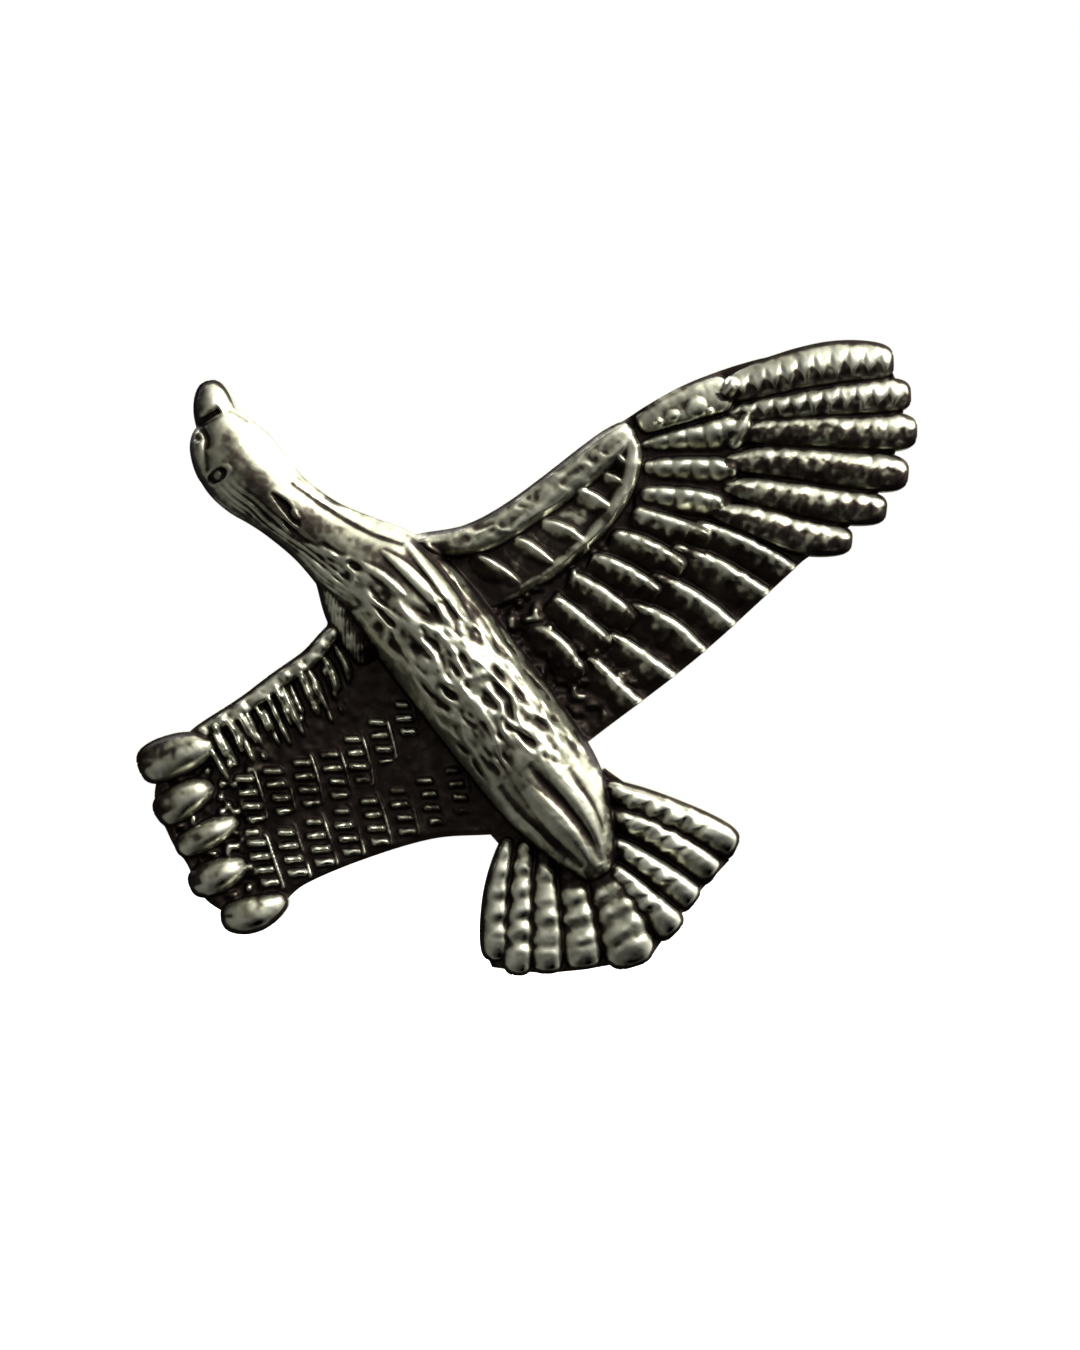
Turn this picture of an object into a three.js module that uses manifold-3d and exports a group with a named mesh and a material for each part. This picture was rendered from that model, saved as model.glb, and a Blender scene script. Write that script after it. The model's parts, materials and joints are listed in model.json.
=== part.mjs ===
// A cast pewter cap badge in the shape of a flying goose, held on by two posts and two butterfly clutches.
// Millimetres. +Z is up as worn, the goose faces -Y, and the cap is on the +Y side.
// The origin is on the flat back of the casting, midway between the two posts.
import * as THREE from "three";
import { mergeVertices } from "three/addons/utils/BufferGeometryUtils.js";
import Module from "manifold-3d";

const wasm = await Module();
wasm.setup();

// ---- Driving dimensions ----

// The goose is drawn in a sketch plane whose origin is the centre post: x right, y up, z out of the front.
const OUTER_POST = new THREE.Vector2(13.8, 8.8); // from the centre post
const PLATE = { wing: 1.3, tail: 1.3, armPanel: 1.75, bevel: 0.25 }; // thickness under the feathers
const SEAT = { radius: 3.6, depth: 0.2 }; // shallow round seats in the back for the post pads

const PAD = { radius: 3.0, thick: 0.5, hole: 0.62 };
const SOLDER = { width: 0.4, height: 0.35 };
const FILM = 0.02; // solder film and running gaps between touching pieces
const POST = { radius: 0.575, neck: 0.45, tip: 0.12, length: 8.2, head: 1.2, groove: 0.6, taper: 1.1 };

const CLOTH = 2.2; // cap cloth between the back of the casting and the clutch
const SHEET = 0.3; // brass sheet of the clutch base
const DISC = { radius: 5.7, flat: 2.2, hole: 0.72, cone: 0.75, rim: 0.98 };
const KEEPER = { radius: 5.15, thick: 0.25, dome: 2.6, domeHeight: 2.3, window: 3.1, hole: 0.8 };
const STRIP = { thick: 0.25, jaw: 2.6, wing: 4.6, level: 1.0, step: 0.36, travel: 0.5 };
const LOOP = { reach: 6.0, height: 4.9, lip: 2.5 };
const CENTRE_CLUTCH_TURN = 20; // degrees: the clutches turn freely, so they never line up
const OUTER_CLUTCH_TURN = -38;
const PLAY = 0.06; // between the post and the hole of a sprung strip

// ---- Materials ----

const material = (color, roughness, metalness) =>
  new THREE.MeshStandardMaterial({ color, roughness, metalness });
const PEWTER = material(0x8f9183, 0.38, 1);
const SOLDER_TIN = material(0xb4b6b2, 0.35, 1);
const NICKEL = material(0xc4c3bd, 0.25, 1);
const BRASS = material(0xc9a14e, 0.28, 1);
const SPRING_BRASS = material(0xd1ac5c, 0.25, 1);

// ---- Solids: joining and cutting ----

function solid(geometry) {
  const bare = geometry.index ? geometry.toNonIndexed() : geometry.clone();
  bare.deleteAttribute("normal");
  bare.deleteAttribute("uv");
  const merged = mergeVertices(bare, 1e-4);
  return new wasm.Manifold(
    new wasm.Mesh({
      numProp: 3,
      vertProperties: merged.attributes.position.array,
      triVerts: new Uint32Array(merged.index.array),
    }),
  );
}

function geometryOf(manifold) {
  const mesh = manifold.getMesh();
  return new THREE.BufferGeometry()
    .setAttribute("position", new THREE.BufferAttribute(mesh.vertProperties, 3))
    .setIndex(new THREE.BufferAttribute(mesh.triVerts, 1));
}

function join(geometries) {
  return geometries.map(solid).reduce((sum, next) => sum.add(next));
}

function piece(name, geometry, look) {
  const made = new THREE.Mesh(geometry, look);
  made.name = name;
  return made;
}

// ---- Building blocks of the casting ----

// A rounded bar on the back plane. Each station is [x, y, half width, height]; bluntness 2 ends it as an
// ellipse and more makes the ends squarer.
function bar(stations, { around = 10, along = 7, bluntness = 4 } = {}) {
  const path = new THREE.CatmullRomCurve3(stations.map(([x, y]) => new THREE.Vector3(x, y, 0)));
  const sizes = new THREE.CatmullRomCurve3(stations.map(([, , w, h]) => new THREE.Vector3(w, h, 0)));
  const made = new THREE.SphereGeometry(1, around, along);
  const points = made.attributes.position;
  for (let i = 0; i < points.count; i++) {
    const [sx, sy, sz] = [points.getX(i), points.getY(i), points.getZ(i)];
    const share = THREE.MathUtils.clamp((1 - sy) / 2, 0, 1);
    const ring = Math.hypot(sx, sz) || 1;
    const end = Math.pow(Math.max(0, 1 - Math.pow(Math.abs(sy), bluntness)), 1 / bluntness);
    const at = path.getPoint(share);
    const heading = path.getTangent(share);
    const size = sizes.getPoint(share);
    const side = (sx / ring) * size.x * end;
    points.setXYZ(i, at.x - heading.y * side, at.y + heading.x * side, (sz / ring) * size.y * end);
  }
  return made;
}

// A flat plate with bevelled edges, from z = 0 up to its thickness.
function plate(shape, thickness) {
  const { bevel } = PLATE;
  const depth = thickness - bevel;
  const options = {
    depth: depth + 1,
    bevelEnabled: true,
    bevelSegments: 1,
    bevelThickness: bevel,
    bevelSize: bevel,
    bevelOffset: -bevel,
    curveSegments: 3,
  };
  return new THREE.ExtrudeGeometry(shape, options).translate(0, 0, -1);
}

const point = ([x, y]) => new THREE.Vector2(x, y);

// A closed outline from runs of points: a run of two is a straight edge, and a longer one is a smooth curve.
function outline(...runs) {
  const shape = new THREE.Shape();
  shape.moveTo(...runs[0][0]);
  for (const run of runs) {
    if (run.length === 2) shape.lineTo(...run[1]);
    else shape.splineThru(run.slice(1).map(point));
  }
  return shape;
}

const mix = (a, b, t) => a.map((v, i) => v + (b[i] - v) * t);

// A row of bars that changes evenly from the first to the last.
function row(count, first, last, options) {
  const bars = [];
  for (let i = 0; i < count; i++) {
    bars.push(bar(first.map((station, k) => mix(station, last[k], i / (count - 1))), options));
  }
  return bars;
}

// ---- The goose, from the back to the front ----

function rightWing() {
  const shape = outline(
    [[-2, 8.0], [2, 8.95], [6.5, 12.1], [11, 15.2], [14.5, 17.05], [18.5, 18.3], [24.5, 19.1]],
    [[24.5, 19.1], [25.75, 17.2], [26.25, 15.2], [25.85, 13.0], [24.9, 10.6], [23.1, 8.5], [20.25, 6.4]],
    [[20.25, 6.4], [14.4, 1.0], [8, -3.95]],
    [[8, -3.95], [2, -1]],
    [[2, -1], [-2, 8.0]],
  );
  const primaries = [
    [[15.4, 16.2, 0.8, 2.0], [18.5, 17.1, 1.15, 2.4], [22, 17.9, 1.3, 2.5], [25.7, 18.05, 1.3, 2.25]],
    [[16.0, 15.0, 0.55, 1.9], [20, 15.6, 0.95, 2.35], [23.5, 16.0, 1.1, 2.45], [26.7, 16.15, 1.15, 2.25]],
    [[16.1, 13.9, 0.55, 1.9], [20, 14.1, 1.05, 2.3], [23.5, 14.05, 1.15, 2.4], [27.05, 14.0, 1.25, 2.2]],
    [[15.9, 12.3, 0.6, 1.9], [19.5, 12.3, 1.05, 2.25], [23, 11.9, 1.2, 2.35], [26.55, 11.5, 1.2, 2.2]],
    [[15.8, 10.9, 0.55, 1.9], [19, 10.4, 1.0, 2.2], [22, 9.85, 1.1, 2.25], [25.3, 9.45, 1.05, 2.1]],
    [[15.2, 9.4, 0.55, 1.8], [18, 8.8, 1.0, 2.15], [20.5, 8.0, 1.1, 2.2], [23.3, 7.65, 0.95, 2.05]],
  ].map((stations) => bar(stations));
  const secondaries = row(
    6,
    [[13.9, 8.4, 0.8, 1.8], [17.0, 7.0, 1.0, 2.05], [19.9, 5.6, 0.85, 1.8]],
    [[7.7, 0.6, 0.7, 1.6], [9.3, -0.9, 0.9, 1.85], [10.8, -2.3, 0.75, 1.6]],
  );
  const handCoverts = [
    [[10.9, 14.5, 0.8, 2.1], [13.4, 15.5, 1.15, 2.35], [16.3, 16.35, 1.15, 2.3]],
    [[11.0, 13.1, 0.5, 2.0], [13.9, 13.5, 1.0, 2.3], [17.2, 13.9, 1.2, 2.5]],
    [[11.0, 11.8, 0.75, 1.95], [13.7, 11.7, 0.95, 2.2], [16.7, 11.65, 1.0, 2.3]],
    [[10.9, 10.3, 0.75, 1.9], [13.2, 10.05, 0.9, 2.1], [15.9, 9.6, 0.9, 2.2]],
  ].map((stations) => bar(stations));
  const armCoverts = row(
    6,
    [[10.5, 9.2, 0.8, 1.8], [12.6, 8.3, 1.0, 2.15], [14.9, 7.4, 0.95, 2.3]],
    [[4.5, 2.7, 0.7, 1.6], [5.9, 1.4, 0.9, 1.9], [7.5, -0.1, 0.8, 2.0]],
  );
  const leadingRim = bar(
    [
      [-2.2, 7.3, 0.8, 2.9],
      [2, 8.0, 0.95, 2.4],
      [5, 9.8, 1.0, 2.4],
      [8, 12.0, 1.1, 2.5],
      [10.5, 14.25, 0.85, 2.7],
    ],
    { along: 10 },
  );
  const armRim = bar(
    [
      [10.1, 13.9, 0.9, 2.75],
      [10.3, 12.3, 0.9, 2.65],
      [9.3, 9.5, 0.8, 2.4],
      [7.0, 7.2, 0.75, 2.2],
      [3.8, 5.0, 0.55, 1.85],
    ],
    { along: 10 },
  );
  const armPanel = outline(
    [[-0.6, 6.4], [3.5, 9.0], [10.6, 14.1]],
    [[10.6, 14.1], [11.1, 12.6], [10.5, 10.3], [9.2, 8.2], [6.1, 5.5], [2.4, 3.6]],
    [[2.4, 3.6], [-0.6, 6.4]],
  );
  const armBars = row(
    5,
    [[8.4, 12.7, 0.5, 2.2], [9.5, 12.0, 0.7, 2.4], [10.7, 11.3, 0.5, 2.3]],
    [[1.7, 7.0, 0.45, 1.9], [2.9, 6.2, 0.6, 2.0], [4.2, 5.4, 0.45, 1.9]],
    { around: 8, along: 5 },
  );
  return [
    plate(shape, PLATE.wing),
    ...primaries,
    ...secondaries,
    ...handCoverts,
    ...armCoverts,
    plate(armPanel, PLATE.armPanel),
    leadingRim,
    armRim,
    ...armBars,
  ];
}

function leftWing() {
  const shape = outline(
    [[-6.9, 3.2], [-7.5, 1.9], [-9.3, 0.55], [-12, -1.55], [-15, -3.4]],
    [[-15, -3.4], [-17.0, -6.6], [-16.25, -9.3], [-15.2, -11.0], [-14.05, -13.1], [-12.2, -14.2]],
    [[-12.2, -14.2], [-10, -13.5], [-8.4, -12.2], [-5, -10.75], [-1, -9.55], [2.4, -9.3]],
    [[2.4, -9.3], [3.3, -10.3]],
    [[3.3, -10.3], [5.5, -8]],
    [[5.5, -8], [-2, 3.5]],
    [[-2, 3.5], [-6.9, 3.2]],
  );
  const tips = [
    [[-13.4, -4.0, 0.7, 2.4], [-15.4, -4.6, 1.2, 2.6], [-17.95, -5.55, 1.35, 2.0]],
    [[-13.7, -6.4, 0.7, 2.3], [-15.2, -7.2, 1.05, 2.5], [-16.9, -8.35, 1.15, 1.9]],
    [[-12.2, -8.4, 0.55, 2.0], [-13.8, -9.25, 0.85, 2.45], [-15.8, -10.2, 0.85, 2.0]],
    [[-11.7, -10.9, 0.65, 2.0], [-13.2, -11.6, 1.0, 2.5], [-15.0, -12.35, 1.0, 2.0]],
    [[-9.4, -13.0, 0.65, 1.9], [-11.3, -13.9, 1.05, 2.4], [-13.2, -14.15, 1.0, 2.0]],
  ].map((stations) => bar(stations, { bluntness: 3 }));
  const leadingRim = bar([
    [-6.6, 2.6, 0.5, 2.0],
    [-9, 0.15, 0.5, 2.0],
    [-12, -2.1, 0.5, 2.0],
    [-14.8, -3.9, 0.5, 2.0],
  ]);
  const smallCoverts = row(
    10,
    [[-6.9, 1.2, 0.35, 1.6], [-6.0, -0.4, 0.4, 1.6], [-5.2, -2.1, 0.35, 1.5]],
    [[-13.8, -3.6, 0.35, 1.8], [-13.3, -4.4, 0.4, 1.8], [-12.6, -5.6, 0.35, 1.7]],
    { around: 8, along: 5 },
  );
  const middleCoverts = row(
    8,
    [[-11.9, -5.7, 0.6, 1.75], [-11.4, -7.1, 0.6, 1.75], [-11, -8.9, 0.6, 1.7]],
    [[-2.6, -2.4, 0.6, 1.5], [-2.1, -3.6, 0.6, 1.5], [-1.6, -5.3, 0.6, 1.45]],
    { around: 8, along: 5, bluntness: 6 },
  );
  const longFeathers = row(
    9,
    [[-11.2, -9.3, 0.6, 1.7], [-10.8, -11, 0.6, 1.7], [-10.1, -12.7, 0.6, 1.65]],
    [[0.3, -5.7, 0.6, 1.45], [0.8, -7.2, 0.6, 1.45], [1.2, -9.1, 0.6, 1.4]],
    { around: 8, along: 5, bluntness: 6 },
  );
  return [plate(shape, PLATE.wing), ...tips, leadingRim, ...smallCoverts, ...middleCoverts, ...longFeathers];
}

function tail() {
  const shape = outline(
    [[5, -8], [3, -9.9], [2.4, -12.5], [1.9, -15.2], [2.5, -17.0]],
    [[2.5, -17.0], [5.5, -17.3], [8.5, -17.0], [11.65, -16.4]],
    [[11.65, -16.4], [13.2, -14.2], [14.5, -12.6], [16.2, -10.8]],
    [[16.2, -10.8], [9, -5.5]],
    [[9, -5.5], [5, -8]],
  );
  const sideFeathers = [
    [[8.6, -6.55, 0.8, 2.3], [12.2, -8.15, 1.15, 2.45], [16.6, -10.1, 1.25, 2.25]],
    [[9.0, -8.1, 0.8, 2.3], [12, -9.5, 1.05, 2.45], [15.4, -11.65, 1.2, 2.25]],
    [[9.0, -9.7, 0.8, 2.3], [11.5, -11.3, 1.0, 2.45], [14.2, -13.25, 1.2, 2.25]],
    [[8.8, -11.0, 0.8, 2.3], [10.9, -12.9, 1.05, 2.45], [13.1, -15.0, 1.25, 2.25]],
  ].map((stations) => bar(stations));
  const lowFeathers = [
    [[8.2, -10.8, 0.8, 2.2], [9.65, -13.6, 1.5, 2.5], [10.7, -16.95, 1.65, 2.2]],
    [[6.8, -10.6, 0.7, 2.2], [7.35, -13.6, 1.1, 2.4], [7.85, -17.1, 1.3, 2.15]],
    [[5.4, -10.2, 0.6, 2.2], [5.6, -13.6, 0.95, 2.4], [5.65, -17.35, 1.15, 2.15]],
    [[4.4, -9.6, 0.6, 2.2], [4.1, -13.4, 0.88, 2.3], [3.95, -17.45, 1.05, 2.15]],
    [[3.4, -9.5, 0.5, 2.2], [2.75, -12.8, 0.76, 2.3], [2.65, -16.6, 1.0, 2.05]],
  ].map((stations) => bar(stations, { bluntness: 5 }));
  return [plate(shape, PLATE.tail), ...sideFeathers, ...lowFeathers];
}

function body() {
  const trunk = bar(
    [
      [-12.8, 15.2, 0.8, 2.7],
      [-12.85, 13.9, 2.05, 3.5],
      [-12.5, 12.5, 2.5, 3.9],
      [-11.1, 10.9, 2.2, 3.8],
      [-9.3, 9.45, 1.95, 3.4],
      [-7.6, 8.2, 2.05, 3.4],
      [-5.7, 6.8, 2.6, 3.8],
      [-3.4, 5.15, 3.2, 4.5],
      [-1.2, 2.7, 3.45, 4.9],
      [1.2, -0.4, 3.45, 5.0],
      [3.6, -3.6, 3.4, 4.9],
      [5.65, -6.35, 3.25, 4.6],
      [7.25, -8.9, 2.6, 4.2],
      [8.75, -11.75, 1.5, 3.3],
    ],
    { around: 24, along: 30, bluntness: 8 },
  );
  const beak = bar(
    [
      [-13.0, 13.5, 1.3, 2.5],
      [-13.55, 15.0, 1.2, 2.75],
      [-13.9, 16.95, 0.9, 2.0],
    ],
    { bluntness: 2.8 },
  );
  const cheek = bar(
    [
      [-14.2, 14.4, 0.6, 2.9],
      [-14.2, 12.9, 0.75, 3.05],
      [-13.6, 10.9, 0.8, 2.95],
    ],
    { bluntness: 3 },
  );
  // The flank left of the neck, where it runs into the left wing.
  const flank = bar([
    [-9.0, 8.3, 0.9, 2.4],
    [-7.1, 6.3, 0.95, 2.4],
    [-6.05, 3.5, 1.1, 2.4],
    [-4.7, 0.6, 1.0, 2.1],
  ]);
  const rumpFeathers = [
    [[5.9, -4.6, 0.4, 4.4], [7.7, -7.2, 0.6, 4.2], [8.7, -9.9, 0.45, 3.5]],
    [[4.5, -5.3, 0.4, 5.0], [6.6, -8.1, 0.65, 4.7], [8.4, -10.9, 0.5, 3.7]],
    [[3.6, -6.4, 0.4, 4.5], [5.4, -8.7, 0.6, 4.3], [7.4, -11.0, 0.45, 3.5]],
  ].map((stations) => bar(stations, { bluntness: 2 }));
  const eye = new THREE.SphereGeometry(0.5, 10, 8).translate(-13.3, 11.4, 2.9);
  return [trunk, beak, cheek, flank, ...rumpFeathers, eye];
}

function casting() {
  const behind = new THREE.BoxGeometry(90, 90, 20).translate(0, 0, -10);
  const seats = [new THREE.Vector2(0, 0), OUTER_POST].map((at) =>
    new THREE.CylinderGeometry(SEAT.radius, SEAT.radius, 2 * SEAT.depth, 28)
      .rotateX(Math.PI / 2)
      .translate(at.x, at.y, 0),
  );
  const goose = join([...rightWing(), ...leftWing(), ...tail(), ...body()]);
  return geometryOf([behind, ...seats].reduce((left, cutter) => left.subtract(solid(cutter)), goose));
}

// ---- Fittings, each about its own axis: y runs away from the back of the casting ----

const profile = (points) => points.map(([r, y]) => new THREE.Vector2(r, y));
const turned = (points, segments) => new THREE.LatheGeometry(profile([...points, points[0]]), segments);

const PAD_FOOT = FILM - SEAT.depth; // the pad sits in the seat
const PAD_TOP = PAD_FOOT + PAD.thick;

function pad() {
  const edge = 0.12;
  return turned(
    [
      [PAD.hole, PAD_FOOT],
      [PAD.radius, PAD_FOOT],
      [PAD.radius, PAD_TOP - edge],
      [PAD.radius - edge, PAD_TOP],
      [PAD.hole, PAD_TOP],
    ],
    28,
  );
}

function solder() {
  const inner = PAD.radius + FILM;
  return turned(
    [
      [inner, PAD_FOOT],
      [inner + SOLDER.width, PAD_FOOT],
      [inner + 0.3 * SOLDER.width, PAD_FOOT + 0.4 * SOLDER.height],
      [inner, PAD_FOOT + SOLDER.height],
    ],
    28,
  );
}

function post() {
  const { radius, neck, tip, length, head, groove, taper } = POST;
  const shoulder = length - taper;
  const nail = [
    [0, PAD_FOOT],
    [radius, PAD_FOOT],
    [radius, shoulder - head - groove],
    [neck, shoulder - head - 0.8 * groove],
    [neck, shoulder - head - 0.2 * groove],
    [radius, shoulder - head],
    [radius, shoulder],
    [tip, length],
    [0, length],
  ];
  return new THREE.LatheGeometry(profile(nail), 20);
}

function clutchBase() {
  const { radius, flat, hole, cone, rim } = DISC;
  const curl = 0.45;
  return turned(
    [
      [hole, cone - SHEET],
      [flat, 0],
      [radius - curl, 0],
      [radius - 0.12, 0.15],
      [radius, curl],
      [radius, rim - 0.3],
      [radius - 0.2, rim],
      [radius - 0.6, rim],
      [radius - 0.6, rim - 0.28],
      [radius - 0.32, rim - 0.32],
      [radius - SHEET, curl],
      [radius - curl - 0.05, SHEET],
      [flat + 0.1, SHEET],
      [hole, cone],
    ],
    36,
  );
}

function clutchKeeper() {
  const { radius, thick, dome, domeHeight, window, hole } = KEEPER;
  const foot = SHEET + FILM;
  const hat = turned(
    [
      [dome - thick, foot],
      [radius, foot],
      [radius, foot + thick],
      [dome + 0.15, foot + thick],
      [dome, foot + thick + 0.2],
      [dome, domeHeight - 0.5],
      [dome - 0.5, domeHeight],
      [hole, domeHeight],
      [hole, domeHeight - thick],
      [dome - 0.6, domeHeight - thick],
      [dome - thick, domeHeight - 0.6],
    ],
    28,
  );
  const gap = 0.1; // under and over the two strips
  const height = STRIP.step + STRIP.thick + 2 * gap;
  const sill = STRIP.level - gap;
  const slot = new THREE.BoxGeometry(3 * dome, height, window).translate(0, sill + height / 2, 0);
  return geometryOf(solid(hat).subtract(solid(slot)));
}

// One sprung strip: a jaw with an oval hole inside the dome, and a finger loop outside it, towards +x.
function clutchSpring(level) {
  const { thick, jaw, wing, travel } = STRIP;
  const { reach, height, lip } = LOOP;
  const path = [
    [KEEPER.dome + 0.5, STRIP.level + 0.1],
    [reach - 1.5, STRIP.level + 0.15],
    [reach - 0.35, STRIP.level + 0.85],
    [reach, STRIP.level + 1.9],
    [reach - 0.5, height - 0.75],
    [reach - 1.5, height - 0.05],
    [lip + 1.0, height - 0.2],
    [lip + 0.1, height - 1.0],
    [lip, height - 1.7],
  ].map(point);
  const middle = new THREE.SplineCurve(path).getPoints(22);
  const offset = (sign) =>
    middle.map((at, i) => {
      const before = middle[Math.max(0, i - 1)];
      const after = middle[Math.min(middle.length - 1, i + 1)];
      const along = after.clone().sub(before).normalize();
      return new THREE.Vector2(-along.y, along.x).multiplyScalar((sign * thick) / 2).add(at);
    });
  const ribbon = new THREE.Shape([...offset(-1), ...offset(1).reverse()]);
  const band = { depth: wing, bevelEnabled: false };
  const loop = new THREE.ExtrudeGeometry(ribbon, band).translate(0, 0, -wing / 2);

  const bore = POST.radius + PLAY;
  const corner = 0.5;
  const far = -bore - travel - corner;
  const near = KEEPER.dome + 0.7;
  const blade = new THREE.Shape(
    [
      [far, -jaw / 2 + corner],
      [far + corner, -jaw / 2],
      [near, -jaw / 2],
      [near, jaw / 2],
      [far + corner, jaw / 2],
      [far, jaw / 2 - corner],
    ].map(point),
  );
  const hole = new THREE.Path();
  hole.absarc(travel, 0, bore, -Math.PI / 2, Math.PI / 2, false);
  hole.absarc(0, 0, bore, Math.PI / 2, (3 * Math.PI) / 2, false);
  blade.holes.push(hole);
  const sheet = new THREE.ExtrudeGeometry(blade, { depth: thick, bevelEnabled: false, curveSegments: 6 })
    .rotateX(Math.PI / 2)
    .translate(0, level + thick, 0);
  const foot = STRIP.level - 0.02;
  const top = level + thick - 0.01;
  const neck = new THREE.BoxGeometry(0.5, top - foot, jaw - 0.1);
  neck.translate(KEEPER.dome + 0.5, (top + foot) / 2, 0);
  return geometryOf(join([loop, sheet, neck]));
}

// ---- Assembly ----

function postSet(name) {
  const set = new THREE.Group();
  set.add(
    piece(`${name}_post_pad`, pad(), NICKEL),
    piece(`${name}_post`, post(), NICKEL),
    piece(`${name}_post_solder`, solder(), SOLDER_TIN),
  );
  return set;
}

function clutch(name, turn) {
  const left = piece(`${name}_clutch_left_spring`, clutchSpring(STRIP.level), SPRING_BRASS);
  left.rotation.y = Math.PI;
  const right = piece(`${name}_clutch_right_spring`, clutchSpring(STRIP.level + STRIP.step), SPRING_BRASS);
  const set = new THREE.Group();
  set.add(
    piece(`${name}_clutch_base`, clutchBase(), BRASS),
    piece(`${name}_clutch_keeper`, clutchKeeper(), BRASS),
    left,
    right,
  );
  set.position.y = CLOTH;
  set.rotation.y = THREE.MathUtils.degToRad(turn);
  return set;
}

const goose = new THREE.Group();
goose.rotation.x = Math.PI / 2; // the sketch plane stands up: its y is up, and its z faces the front
goose.position.set(-OUTER_POST.x / 2, 0, -OUTER_POST.y / 2);
goose.add(piece("bird_casting", casting(), PEWTER));

const centreFittings = new THREE.Group();
centreFittings.position.copy(goose.position);
centreFittings.add(postSet("centre"), clutch("centre", CENTRE_CLUTCH_TURN));

const outerFittings = new THREE.Group();
outerFittings.position.set(OUTER_POST.x / 2, 0, OUTER_POST.y / 2);
outerFittings.add(postSet("outer"), clutch("outer", OUTER_CLUTCH_TURN));

const badge = new THREE.Group();
badge.add(goose, centreFittings, outerFittings);
export default badge;
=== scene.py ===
import json
import math

import bmesh
import bpy
import numpy as np
from mathutils import Matrix, Vector, geometry


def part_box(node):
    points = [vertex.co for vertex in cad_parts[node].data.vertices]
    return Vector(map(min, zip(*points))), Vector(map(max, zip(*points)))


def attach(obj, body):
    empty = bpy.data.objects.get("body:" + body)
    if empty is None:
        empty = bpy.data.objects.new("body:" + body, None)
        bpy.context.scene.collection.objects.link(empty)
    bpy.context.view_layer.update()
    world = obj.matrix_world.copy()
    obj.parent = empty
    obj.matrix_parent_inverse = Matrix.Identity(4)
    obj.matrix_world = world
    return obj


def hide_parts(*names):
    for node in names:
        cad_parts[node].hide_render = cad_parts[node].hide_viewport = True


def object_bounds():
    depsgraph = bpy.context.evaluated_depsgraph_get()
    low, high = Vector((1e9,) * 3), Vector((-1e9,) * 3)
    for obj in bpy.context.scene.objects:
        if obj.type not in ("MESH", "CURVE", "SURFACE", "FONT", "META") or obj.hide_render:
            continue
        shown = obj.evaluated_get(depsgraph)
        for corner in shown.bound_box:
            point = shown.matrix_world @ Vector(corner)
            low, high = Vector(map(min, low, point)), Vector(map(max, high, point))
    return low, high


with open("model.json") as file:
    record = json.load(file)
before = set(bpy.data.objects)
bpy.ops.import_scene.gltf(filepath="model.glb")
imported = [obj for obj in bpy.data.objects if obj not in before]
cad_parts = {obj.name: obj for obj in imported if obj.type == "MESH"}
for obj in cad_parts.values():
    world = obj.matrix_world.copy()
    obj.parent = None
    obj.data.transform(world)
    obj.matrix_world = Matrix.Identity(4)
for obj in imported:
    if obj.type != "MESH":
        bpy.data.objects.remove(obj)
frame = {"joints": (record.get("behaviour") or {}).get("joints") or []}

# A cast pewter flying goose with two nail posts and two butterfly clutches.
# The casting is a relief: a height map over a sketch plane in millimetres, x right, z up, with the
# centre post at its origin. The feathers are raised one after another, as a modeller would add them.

CAD_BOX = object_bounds()
MM = 0.001


def middle(node):
    low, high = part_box(node)
    return (low + high) / 2


# ---------------------------------------------------------------- places taken from the frame

CENTRE = middle("centre_post") / MM
OUTER = middle("outer_post") / MM

# ---------------------------------------------------------------- sizes of the casting

SEATS = [(0.0, 0.0), (OUTER.x - CENTRE.x, OUTER.z - CENTRE.z)]
SEAT_RADIUS = 3.6  # of the shallow recesses in the back that the posts' pads are soldered into
SEAT_DEPTH = 0.2
SEAT_CORNERS = 96
STEP = 0.08  # between the points of the height map
WALL = 0.95  # height of the plain wall round the outline
PLATE = 1.15  # height of a wing between its feathers
ROW_GAP = 1.0  # floor of the gaps between the left wing's feathers
SOFTNESS = 0.05  # how far casting rounds every edge
SHOULDER, FOOT = 0.1, 0.12  # how far the wall's upper and lower edges are rounded
BACK_PITCH = 1.1  # between the loose points that keep the triangles of the back even
OUTLINE_CLEAR, SEAT_CLEAR = 0.35, 0.3  # from those points to the outline, and to a seat's rim
FAR = 1e9  # stands for a distance not found yet


# ---------------------------------------------------------------- small maths

def smoothstep(low, high, value):
    share = np.clip((value - low) / (high - low), 0.0, 1.0)
    return share * share * (3.0 - 2.0 * share)


def bell(value, width):
    """1 where the value is 0, fading to nothing at about twice the width."""
    return np.exp(-((value / width) ** 2))


def hashed(i, j, seed):
    """A fixed number from 0 to 1 for each pair of whole numbers."""
    return np.sin(i * 127.1 + j * 311.7 + seed * 74.7) * 43758.5453 % 1


def noise(x, y, seed):
    """Smooth bumps from 0 to 1, one unit across."""
    i, j = np.floor(x), np.floor(y)
    u, v = smoothstep(0, 1, x - i), smoothstep(0, 1, y - j)
    low = hashed(i, j, seed) * (1 - u) + hashed(i + 1, j, seed) * u
    high = hashed(i, j + 1, seed) * (1 - u) + hashed(i + 1, j + 1, seed) * u
    return low * (1 - v) + high * v


def cells(x, y, seed):
    """Distance to the nearest seed point, and to the border between cells, in a jittered grid."""
    i, j = np.floor(x), np.floor(y)
    first, second = np.full(x.shape, FAR), np.full(x.shape, FAR)
    jitter = 0.8
    for di in (-1, 0, 1):
        for dj in (-1, 0, 1):
            a, b = i + di, j + dj
            cx = a + 0.5 + jitter * (hashed(a, b, seed) - 0.5)
            cy = b + 0.5 + jitter * (hashed(a, b, seed + 1) - 0.5)
            distance = np.hypot(x - cx, y - cy)
            second = np.minimum(second, np.maximum(first, distance))
            first = np.minimum(first, distance)
    return first, second - first


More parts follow.
